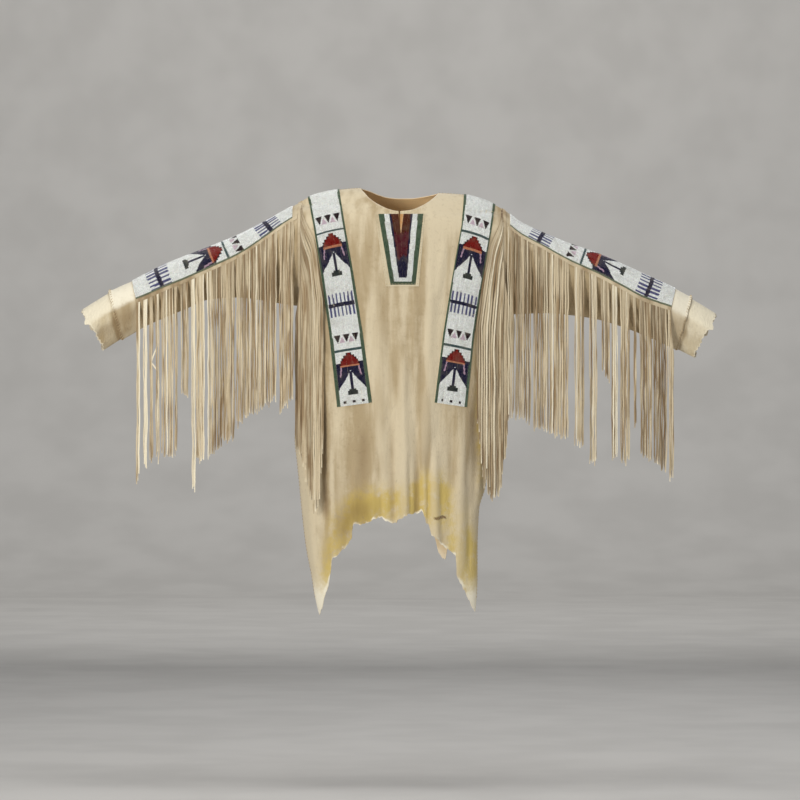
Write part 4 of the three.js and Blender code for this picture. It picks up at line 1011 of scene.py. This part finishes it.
# Arm bands: the same beadwork on its own backing hide, laid along the top of each sleeve from the armhole
# outwards. Each reaches over the sleeve's upper edge to the back.
ARM_BAND_END = 7  # the station where an arm band and its fringe stop
ARM_BEADS = 42
ARM_MOTIF = {"left": 399, "right": 422}  # how far out the first motif starts
ARM_MOTIF_LOWER = {"left": 7, "right": 2}  # how far below the band's middle the motifs are centred
ARM_BAND_START = {"left": 0.4, "right": 0.3}  # the station where the beads start


def band_turns(side, at, columns, beyond=0.0):
    """For each station, the turns round a sleeve that space a band evenly from its back edge to its front."""
    top_x, top_z, foot_x, foot_z, deep, band, wrap = station(side, at)
    height = np.hypot(top_x - foot_x, top_z - foot_z)
    front = np.arccos(1 - 2 * (band + beyond) / height)
    over = (np.arcsin((wrap / deep) ** (1 / SLEEVE_FULLNESS)) / np.pi) ** (1 / SLEEVE_LEAN)
    back = -np.arccos(1 - 2 * over)
    t = np.linspace(0, 1, 90)
    turns = back[:, None] * (1 - t) + front[:, None] * t
    points, _ = sleeve_grid(side, at, turns)
    run = np.cumsum(np.linalg.norm(np.diff(points, axis=1), axis=-1), axis=1)
    run = np.hstack([np.zeros((len(at), 1)), run])
    return np.array([np.interp(np.linspace(0, r[-1], columns), r, turn) for r, turn in zip(run, turns)])


for side in ("left", "right"):
    at = np.linspace(ARM_BAND_START[side], ARM_BAND_END, 300)
    turns = band_turns(side, at, ARM_BEADS + 1)
    points, from_centre = sleeve_grid(side, at, turns)
    rows = even_rows(points, BEAD_ROW)
    points, from_centre = rows_at(points, rows), rows_at(from_centre, rows)
    normals = outward(points, from_centre)
    width = np.linalg.norm(np.diff(points, axis=1), axis=-1).sum(axis=1)[:-1, None]
    off = (np.arange(ARM_BEADS) + 0.5 - ARM_BEADS / 2) / ARM_BEADS * width
    line = points[:, points.shape[1] // 2]
    square = ((points[:-1, :-1] - line[:-1, None]) * unit(np.gradient(line, axis=0))[:-1, None]).sum(-1)
    out = (np.abs(line[:-1, :1]) - ARM_MOTIF[side]) * 1.1 + square
    lower = ARM_MOTIF_LOWER[side]
    pattern = strip_pattern(out % MOTIF, off * 2 * INNER_HALF / (width - 10) - lower)
    pattern[out < 190 - MOTIF] = BEAD_NUMBER["white"]
    pattern[:, :2] = pattern[:, -2:] = BEAD_NUMBER["sage"]
    lanes = [0, 3, 12, 21, 30, 39, 42]
    beads, backing = beaded_band("arm", side, points, normals, pattern, lanes, 61 + len(side), every=3)


# Bib: a flap of hide below the neck with a wedge of beads on it. It is open along the neck slit, and a narrow
# wedge of its hide is left bare beside the slit.
BIB_COLUMNS = (12, 18)
BIB_BEADS = 28  # beads from the slit to each side
BIB_LANES = [0, 7, 14, 21, 28, 29, 36, 43, 50, 57]  # columns at the ends of its lanes; 28 to 29 is the slit
BIB_LEFT = [(-62, -51.7), (-240, -21)]  # (z, x) down the beads' left edge, as in the next two tables
BIB_RIGHT = [(-62, 59), (-240, 39.5)]
BIB_CENTRE = [(-62, 4), (-110, 4), (-240, 9)]
BIB_BEADS_FOOT_Z = BIB_FOOT_Z + 4
BARE_HALF = 6.2  # half the width of the bare wedge at its top
bib_middle = 30
bib_columns, bib_parts = split_columns(np.linspace(*BIB_COLUMNS, 2 * bib_middle + 1), bib_middle)
points, normals = hide_grid("front", bib_columns, np.linspace(1, 2, 90), bib_parts)
slit_row = int(np.argmax(points[:, bib_middle, 2] <= SLIT_FOOT_Z))
soiled = np.full(points.shape[:2], 0.5)
facing = 1.6 * np.exp(-(((points[..., 0] - 2) / 9) ** 2)) * ease((points[..., 2] - SLIT_FOOT_Z + 14) / 14)
bib = cloth(
    "neck_bib_backing", points, normals, backing_hide, {"handled_and_shade": soiled, "painted": facing}, BACKING,
    BACKING_LIFT, slit=(bib_middle, slit_row),
)  # fmt: skip


def bare_half(z):
    """Half the width of the bare wedge of hide that the beads leave beside the slit."""
    return BARE_HALF * np.clip((z - SLIT_FOOT_Z) / (BIB_TOP_Z - SLIT_FOOT_Z), 0, 1.2)


def bib_grid():
    """The corners of the bib's beads: columns run from the green border's left edge to its right edge."""
    z = np.linspace(BIB_TOP_Z + 0.5, BIB_BEADS_FOOT_Z, round((BIB_TOP_Z - BIB_FOOT_Z) / BEAD_ROW) + 1)
    left, right, centre = (straight(line, z) for line in (BIB_LEFT, BIB_RIGHT, BIB_CENTRE))
    half = bare_half(z)
    near = np.linspace(0, 1, BIB_BEADS + 1)
    spans = ((left, centre - half), (centre + half, right))
    x = np.concatenate([start[:, None] + (end - start)[:, None] * near for start, end in spans], axis=1)
    zz = np.repeat(z[:, None], x.shape[1], axis=1)
    points = np.stack([x, -hide_depth("front", x, zz), zz], -1)
    return points, outward(points, np.array([0, -1, 0.2])), left, right


points, normals, left, right = bib_grid()
x = (points[:-1, :-1, 0] + points[:-1, 1:, 0]) / 2
z = points[:-1, :1, 2]
edge = np.minimum(x - left[:-1, None], right[:-1, None] - x)
foot = z - BIB_BEADS_FOOT_Z
down = ripple(71, x / 5, z / 9) * 8 - z
border = 13.4 + 3.4 * (z - BIB_TOP_Z) / (BIB_TOP_Z - BIB_FOOT_Z)
pattern = np.select(
    [edge < border, foot < 9, edge < border + 13.5, foot < 18, edge < border + 17.5, down < 108, down < 168],
    [BEAD_NUMBER[name] for name in ("green", "green", "white", "white", "navy", "brown", "maroon")],
    BEAD_NUMBER["navy"],
)
beads = bead_work(
    "neck_bib_beads", points, normals, pattern, BIB_LANES, seed=71,
    slit=(BIB_BEADS, int(np.argmax(points[:, 0, 2] <= SLIT_FOOT_Z))),
)  # fmt: skip
attach(beads, "neck_bib")
attach(bib, "neck_bib")


# Arm fringe: long thongs cut from one piece of hide, whose uncut edge is sewn under each arm band. They hang
# over the sleeve in bunches, twist a little, and have worn to uneven lengths.
STRIP_THICK = 1.6
STRIP_LIFT = HIDE / 2 + SEAM + STRIP_THICK / 2
THONG_WIDTH = 3.1
THONG_THICK = 1.3
ARM_BUNCHES = {  # (x nearest the body, x furthest out, z where the first and the last end, thongs, paleness)
    "left": [
        (-262, -297, -515, -552, 11, -0.3), (-304, -404, -517, -580, 31, -0.1), (-408, -475, -606, -664, 21, 0.0),
        (-483, -503, -668, -664, 8, 0.1), (-505, -514, -730, -738, 3, 0.9), (-522, -540, -508, -500, 6, 0.1),
        (-550, -556, -656, -656, 3, 0.9), (-559, -589, -656, -656, 8, 0.0), (-595, -603, -654, -650, 3, 0.2),
        (-611, -618, -671, -668, 3, 0.3), (-625, -634, -683, -680, 4, 1.0), (-644, -651, -714, -718, 3, 0.2),
    ],
    "right": [
        (268, 284, -560, -560, 4, -0.3), (287, 326, -565, -568, 11, -0.4), (332, 369, -590, -598, 12, 0.0),
        (371, 418, -600, -612, 15, -0.1), (434, 457, -634, -628, 8, 0.4), (471, 489, -676, -674, 7, 0.2),
        (500, 520, -440, -478, 7, 0.0), (526, 540, -668, -660, 5, 0.6), (548, 571, -668, -676, 8, 0.4),
        (581, 587, -584, -580, 2, -0.6), (597, 626, -655, -668, 10, 0.0), (629, 663, -676, -702, 11, -0.5),
        (668, 680, -715, -700, 5, 1.0),
    ],
}  # fmt: skip
KINK = (-599, -16, -426)  # one thong has dried with a kink: its x, how far it swings out, and z
fringe_hide = tanned(
    "fringe hide",
    [(216, 200, 168), (162, 138, 104), (98, 74, 46), (242, 232, 206), (186, 160, 100)],
    creases=0.2,
    bump=0.001,
)


def thongs(name, paths, across, widths, marks, material=fringe_hide, thick=THONG_THICK):
    """Cut thongs, as flat strips with square edges: paths and across are (thongs, steps, 3)."""
    tangent = unit(np.gradient(paths, axis=1))
    across = unit(across - tangent * (across * tangent).sum(-1, keepdims=True))
    through = np.cross(tangent, across) * thick / 2
    half = across * widths[..., None] / 2
    ring = np.stack(
        [paths + half + through, paths - half + through, paths - half - through, paths + half - through], 2
    )
    many, steps = paths.shape[:2]
    grid = np.arange(many * steps * 4).reshape(many, steps, 4)
    nxt = np.roll(grid, -1, axis=2)
    sides = np.stack([grid[:, :-1], nxt[:, :-1], nxt[:, 1:], grid[:, 1:]], -1).reshape(-1, 4)
    caps = np.concatenate([grid[:, 0, ::-1], grid[:, -1]])
    marks = {mark: np.repeat(values, 4, axis=None) for mark, values in marks.items()}
    return sew_up(name, ring.reshape(-1, 3), np.concatenate([sides, caps]), material, marks)


def spread(start, end, count):
    """Places in the middles of equal shares of a length."""
    return start + (end - start) * (np.arange(count) + 0.5) / count


def twisted(turns):
    """Which way a hanging thong's width lies, at turns about the upright."""
    return np.stack([np.cos(turns), np.sin(turns), 0 * turns], -1)


def thong_marks(paleness, fallen):
    """The marks on thongs: each has its own paleness, and all are darker near their roots."""
    tone = paleness[:, None] + 0 * fallen
    return {
        "fold_shading_and_tone": np.clip(tone * 1.2, -1.5, 1.2),
        "rubbed_and_highlight": np.clip(tone - 0.5, 0, 1) + 0.5 * ease((fallen / fallen[:, -1:] - 0.96) / 0.04),
        "handled_and_shade": 0.5 * ease(1 - fallen / 70),
        "smoke_and_shading": 0.8 * ripple(86, np.arange(len(tone))[:, None] * 1.7 + 0 * tone, fallen / 60),
    }


for side in ("left", "right"):
    rng = np.random.default_rng(81 if side == "left" else 82)
    at = np.linspace(0.02, ARM_BAND_END, 120)
    edge_turns = band_turns(side, at, 3)[:, -1]
    strip_turns = band_turns(side, at, 3, beyond=FRINGE_STRIP)[:, -1]
    t = np.linspace(0.06, 1, 5)
    turns = edge_turns[:, None] * (1 - t) + strip_turns[:, None] * t
    points, from_centre = sleeve_grid(side, at, turns)
    normals = outward(points, from_centre)
    marks = {"handled_and_shade": np.full(points.shape[:2], 0.35)}
    strip = cloth(f"arm_fringe_strip_{side}", points, normals, fringe_hide, marks, STRIP_THICK, STRIP_LIFT)
    bunches = ARM_BUNCHES[side]
    hung_x = np.concatenate([spread(a, b, n) for a, b, _, _, n, _ in bunches])
    ends = np.concatenate([spread(a, b, n) for _, _, a, b, n, _ in bunches])
    paleness = np.concatenate([np.full(n, tone) for *_, n, tone in bunches])
    many = len(hung_x)
    paleness = paleness + rng.normal(-0.1, 0.8, many)
    roots = (points + normals * STRIP_LIFT)[:, -1]
    reach = np.abs(roots[[0, -1], 0])
    spaced = np.linspace(reach[0] + 2, reach[1] - 2, many)
    root_x = np.clip(0.88 * np.abs(hung_x) + 0.12 * spaced, reach[0] + 1, reach[1] - 1)
    root = rows_at(roots, np.interp(root_x, np.abs(roots[:, 0]), np.arange(len(at))))
    whole, _ = sleeve_grid(side, np.linspace(0, MOUTH, 200), ROUND_TURNS)
    xs, ys = whole[..., 0].ravel(), whole[..., 1].ravel()
    spans = [(min(a, b) - 8, max(a, b) + 8) for a, b in zip(root[:, 0], hung_x)]
    front = np.array([ys[(xs > low) & (xs < high)].min() for low, high in spans]) - HIDE / 2 - 1.6
    front = np.minimum(front, root[:, 1] - 1.2) - 1.7 * (np.arange(many) % 2) - rng.uniform(0, 1.4, many)
    ends = ends + rng.normal(0, 6, many)
    drop = np.linspace(0, 1, 40) ** 1.15
    z = root[:, 2:] + 1.5 + (ends[:, None] - root[:, 2:] - 1.5) * drop
    fallen = root[:, 2:] - z
    order = np.arange(many)[:, None] + 0 * z
    sway = (1.5 * ripple(83, order * 1.7, z / 70) + 0.7 * ripple(87, order * 2.9, z / 24)) * ease(fallen / 110)
    x = root[:, :1] + (hung_x[:, None] - root[:, :1]) * ease((fallen - 20) / 110) + sway
    if side == "left":
        kinked = int(np.abs(hung_x - KINK[0]).argmin())
        over = z[kinked] - KINK[2]
        x[kinked] += KINK[1] * np.clip(1 - np.abs(over) / np.where(over > 0, 42, 22), 0, 1)
    y = root[:, 1:2] + (front[:, None] - root[:, 1:2]) * ease(fallen / 30) - 2.5 * ease(fallen / 400)
    y = y + 1.1 * ripple(84, order * 2.3, z / 60) * ease((fallen - 60) / 120)
    turn = 0.8 * ripple(85, order * 3.1, z / 110) * ease(fallen / 80)
    taper = 1 - 0.3 * ease((drop - 0.93) / 0.07)
    widths = THONG_WIDTH * rng.uniform(0.8, 1.12, (many, 1)) * taper
    marks = thong_marks(paleness, fallen)
    fringe = thongs(f"arm_fringe_{side}_thongs", np.stack([x, y, z], -1), twisted(turn), widths, marks)
    for piece in (strip, fringe):
        attach(piece, f"arm_fringe_{side}")


# Armhole fringe: a second set of thongs is caught in each armhole seam, on the front and on the back, and
# fans out over the hide beside the shoulder band before it hangs.
ARMHOLE_THONGS = {"front": 44, "back": 28}
ARMHOLE_THONG = 3.8
ARMHOLE_SPREAD = {"left": 68, "right": 90}  # how far in from its outermost thong a fringe reaches
ARMHOLE_OUTER = {"left": {"front": -257, "back": -251}, "right": {"front": 283, "back": 262}}
ARMHOLE_ENDS = {  # (order from the outermost and lowest thong to the innermost and highest, z)
    "left": {
        "front": [(0, -632), (0.2, -655), (0.42, -735), (0.7, -792), (0.85, -770), (1, -640)],
        "back": [(0, -640), (0.5, -700), (1, -640)],
    },
    "right": {
        "front": [(0, -432), (0.1, -445), (0.18, -600), (0.35, -735), (0.6, -770), (0.85, -700), (1, -560)],
        "back": [(0, -600), (0.5, -690), (1, -640)],
    },
}
for side, inward in (("left", 1), ("right", -1)):
    for face, sign in (("front", -1), ("back", 1)):
        rng = np.random.default_rng(91 + len(side) * 2 + len(face))
        count = ARMHOLE_THONGS[face]
        last = GUIDES[face][-1][0]
        columns = np.linspace(0, 1, 4) if side == "left" else np.linspace(last - 1, last, 4)
        levels = np.concatenate([np.linspace(0, 1, 16) ** 1.6, 1 + np.linspace(0.03, 1, 30)])
        points, normals = hide_grid(face, columns, levels)
        points[0, :, 1] += sign * (SEAM + STRIP_THICK / 2)
        marks = {"handled_and_shade": np.full(points.shape[:2], 0.35)}
        strip = cloth(
            f"armhole_strip_{face}_{side}", points, normals, fringe_hide, marks, STRIP_THICK, STRIP_LIFT
        )
        roots = (points + normals * STRIP_LIFT)[3:, -1 if side == "left" else 0]
        order = np.linspace(0, 1, count)
        root = rows_at(roots, (len(roots) - 1) * (0.97 - 0.85 * order))
        drop = np.concatenate([np.linspace(0, 0.22, 14)[:-1], np.linspace(0.22, 1, 24)])
        ends = straight(ARMHOLE_ENDS[side][face], order) + rng.normal(0, 14, count)
        z = root[:, 2:] + 1 + (ends[:, None] - root[:, 2:] - 1) * drop
        fallen = root[:, 2:] - z
        limit = straight(SHOULDER_EDGES[side][0 if side == "left" else 1], z) - inward * ARMHOLE_THONG * 1.4
        outer = ARMHOLE_OUTER[side][face]
        room = np.minimum(np.abs(limit - outer), ARMHOLE_SPREAD[side])
        hung_x = outer + inward * room * order[:, None]
        x = root[:, :1] + (hung_x - root[:, :1]) * ease((fallen - 4) / 90)
        rank = np.arange(count)[:, None] + 0 * z
        x = x + (1.6 * ripple(93, rank * 1.7, z / 80) + 0.6 * ripple(95, rank * 2.3, z / 26)) * ease(fallen / 150)
        layer = (np.arange(count) % 3)[:, None] * 1.7 * ease(fallen / 60)
        beyond = 7 * (inward * (x - side_x(side, z)) < 8) * ease(fallen / 50)
        reach = np.maximum(hide_depth(face, x, z), armhole_depth(side, z)) + HIDE / 2 + 2.4 + layer + beyond
        reach = np.maximum.accumulate(np.maximum(reach, np.abs(root[:, 1:2])), axis=1)
        turn = 0.5 * ripple(94, rank * 3.1, z / 120) * ease((fallen - 60) / 120)
        widths = ARMHOLE_THONG * rng.uniform(0.8, 1.1, (count, 1)) * (1 - 0.3 * ease((drop - 0.95) / 0.05))
        marks = thong_marks(rng.normal(-0.4, 0.85, count), fallen)
        marks["handled_and_shade"] = marks["handled_and_shade"] + 0.35
        name = f"armhole_fringe_{face}_{side}"
        fringe = thongs(f"{name}_thongs", np.stack([x, sign * reach, z], -1), twisted(turn), widths, marks)
        for piece in (strip, fringe):
            attach(piece, name)
        flat = (0.18, 0.66) if face == "front" else (0.12, 0.6)


# Sinew: the seams that show, at the sides, the shoulders, the neck and the sleeves' mouths, are whipped with
# split sinew, and the bib is held with small running stitches.
SINEW = 0.9  # thickness of a thread
sinew_thread, tree, shader = new_material("split sinew")
fibre = noise(tree, object_place(tree), 620, 3)
looks = {
    "Base Color": blend_colour(
        tree, spread_range(tree, fibre, 0.35, 0.7), colour(222, 204, 164), colour(160, 132, 90)
    ),
    "Roughness": spread_range(tree, fibre, 0.3, 0.7, 0.4, 0.65),
    "Normal": bumped(tree, fibre, 0.0004, 0.5),
}
set_inputs(tree, shader, looks)


def stitched(line, out, over, spacing, sunk=0.0):
    """Stitches spaced evenly along a seam. out leads away from the hide, over spans a stitch, and sunk is how
    far its far end lies below its near one."""
    rows = even_rows(line[:, None], spacing)
    line, out, over = (rows_at(values, rows)[:, None] for values in (line, out, over))
    t = np.linspace(-1, 1, 7)[None, :, None]
    rise = 1.3 * (1 - t**4) - 0.7 - sunk * ease(t + 0.2)
    return line + over * t / 2 + unit(out) * rise, np.cross(over, out) + 0 * t


def slanted(line, way, length, lean):
    """Stitch directions: mostly across the seam, and leaning along it."""
    return unit(way + lean * unit(np.gradient(line, axis=0))) * length


seams = []
up = np.array([0.0, 0.0, 1.0])
for side, away in (("left", -1), ("right", 1)):
    z = np.linspace(UNDERARM_Z[side] - 6, -1010, 200)
    line = np.stack([side_x(side, z) + away * HIDE / 2, 0 * z, z], -1)
    seams.append(stitched(line, 0 * line + (away, 0, 0), slanted(line, 0 * line + (0, 1, 0), 9, 0.5), 8.5))
    band_edge = SHOULDER_EDGES[side][1 if side == "left" else 0][0][1]
    neck_edge = NECK_EDGE["front"][0 if side == "left" else -1][0]
    x = np.linspace(band_edge - 3 * away, neck_edge + 2 * away, 30)
    line = np.stack([x, 0 * x, curved(SHOULDER_LINE, x) + HIDE / 2], -1)
    seams.append(stitched(line, 0 * line + up, slanted(line, 0 * line + (0, 1, 0), 9, 0.5), 7))
    turns = np.append(ROUND_TURNS, np.pi)
    points, from_centre = sleeve_grid(side, np.array([MOUTH - 0.09, MOUTH + 0.09]), turns)
    normals = unit(outward(points, from_centre))
    lift = HIDE / 2 + MOUTH_FLARE * ease(1 - share_of(turns) * 3)
    line = points.mean(axis=0) + normals[0] * lift[:, None]
    seams.append(stitched(line, normals[0], slanted(line, unit(points[1] - points[0]), 9, 0.4), 7, sunk=3.4))
for face, points, normals in (("front", front_points, front_normals), ("back", back_points, back_normals)):
    top = points[0, :, 0]
    inside_neck = (top > NECK_EDGE[face][0][0] + 3) & (top < NECK_EDGE[face][-1][0] - 3)
    below = int(np.argmax(np.linalg.norm(points[:, len(top) // 2] - points[0, len(top) // 2], axis=-1) > 7))
    near, far = points[0, inside_neck], points[below, inside_neck]
    out = normals[below // 2 + 1, inside_neck]
    seams.append(stitched((near + far) / 2 + out * HIDE / 2, out, unit(far - near) * 7, 8))
BIB_SEAM_LEVEL = 1.965  # just above the bib's foot
for from_column, to_column, from_level in (
    (12.25, 14.85, BIB_SEAM_LEVEL), (15.15, 17.75, BIB_SEAM_LEVEL), (12.2, 12.2, 1.03), (17.8, 17.8, 1.03),
):  # fmt: skip
    column = np.linspace(from_column, to_column, 60)
    level = np.linspace(from_level, BIB_SEAM_LEVEL, 60)
    places = [hide_grid("front", np.array([c, c + 0.05]), np.array([v, v + 0.01])) for c, v in zip(column, level)]
    line = np.array([grid[0, 0] for grid, _ in places])
    out = np.array([grid[0, 0] for _, grid in places])
    line = line + out * (BACKING_LIFT + BACKING / 2)
    seams.append(stitched(line, out, unit(np.gradient(line, axis=0)) * 3.4, 7))
paths, across = (np.concatenate([seam[i] for seam in seams]) for i in (0, 1))
widths = np.full(paths.shape[:2], SINEW)
sinew = thongs("sinew_stitches", paths, across, widths, {}, sinew_thread, SINEW)
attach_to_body(sinew, "root")


# The studio, in metres: a pale sweep of floor and wall well behind, a key light from the left, a fill, a top and
# a back light, and one light for the wall alone.
FLOOR_Z, FLOOR_NEAR_Y, FLOOR_SIDE_X = -1.5, -13.0, 14.0
WALL_Y, WALL_TOP_Z, BEND = 13.0, 8.0, 3.0


def studio_sweep():
    material, tree, shader = new_material("studio paper")
    mottle = spread_range(tree, noise(tree, object_place(tree), 3, 2), 0.3, 0.7)
    paper = blend_colour(tree, mottle, colour(214, 211, 206), colour(206, 203, 198))
    set_inputs(tree, shader, {"Base Color": paper, "Roughness": 0.9})
    turn = np.linspace(0, np.pi / 2, 17)
    curve = [(WALL_Y - BEND + BEND * np.sin(a), FLOOR_Z + BEND * (1 - np.cos(a))) for a in turn]
    line = [(FLOOR_NEAR_Y, FLOOR_Z), *curve, (WALL_Y, WALL_TOP_Z)]
    grid = np.array([[(x, y, z) for x in (-FLOOR_SIDE_X, FLOOR_SIDE_X)] for y, z in line]) / MM
    cells = [[2 * i, 2 * i + 1, 2 * i + 3, 2 * i + 2] for i in range(len(line) - 1)]
    sew_up("studio_sweep", grid.reshape(-1, 3), np.array(cells), material)


studio_sweep()
SHIRT_MIDDLE = (0.0, 0.0, -0.45)
LIGHTS = [  # (name, place, aim, size, watts, colour)
    ("key", (-2.1, -3.4, -0.1), SHIRT_MIDDLE, 1.3, 80, (1.0, 0.985, 0.955)),
    ("fill", (2.4, -3.2, -0.9), SHIRT_MIDDLE, 2.6, 30, (0.98, 0.985, 1.0)),
    ("top", (0.1, -0.9, 2.3), SHIRT_MIDDLE, 1.2, 32, (1.0, 1.0, 1.0)),
    ("back", (0.9, 3.2, 2.6), SHIRT_MIDDLE, 2.4, 60, (0.98, 0.985, 1.0)),
    ("wall", (0.0, 5.0, 4.4), (0.0, 13.0, 4.0), 6.0, 330, (1.0, 1.0, 1.0)),
]
WORLD_COLOUR, WORLD_STRENGTH = (0.9, 0.92, 0.95, 1), 0.24
for name, place, middle, size, watts, tint in LIGHTS:
    lamp = bpy.data.objects.new(name, bpy.data.lights.new(name, "AREA"))
    lamp.data.size = size
    lamp.data.energy = watts
    lamp.data.color = tint
    lamp.location = place
    lamp.visible_camera = False
    aim = np.array(middle) - np.array(place)
    lamp.rotation_euler = (np.arctan2(np.hypot(aim[0], aim[1]), -aim[2]), 0, np.arctan2(aim[1], aim[0]) - np.pi / 2)
    bpy.context.scene.collection.objects.link(lamp)
world = bpy.data.worlds.new("studio air")
world.use_nodes = True
background = world.node_tree.nodes["Background"]
set_inputs(world.node_tree, background, {"Color": WORLD_COLOUR, "Strength": WORLD_STRENGTH})
bpy.context.scene.world = world
bpy.context.scene.view_settings.view_transform = "Standard"
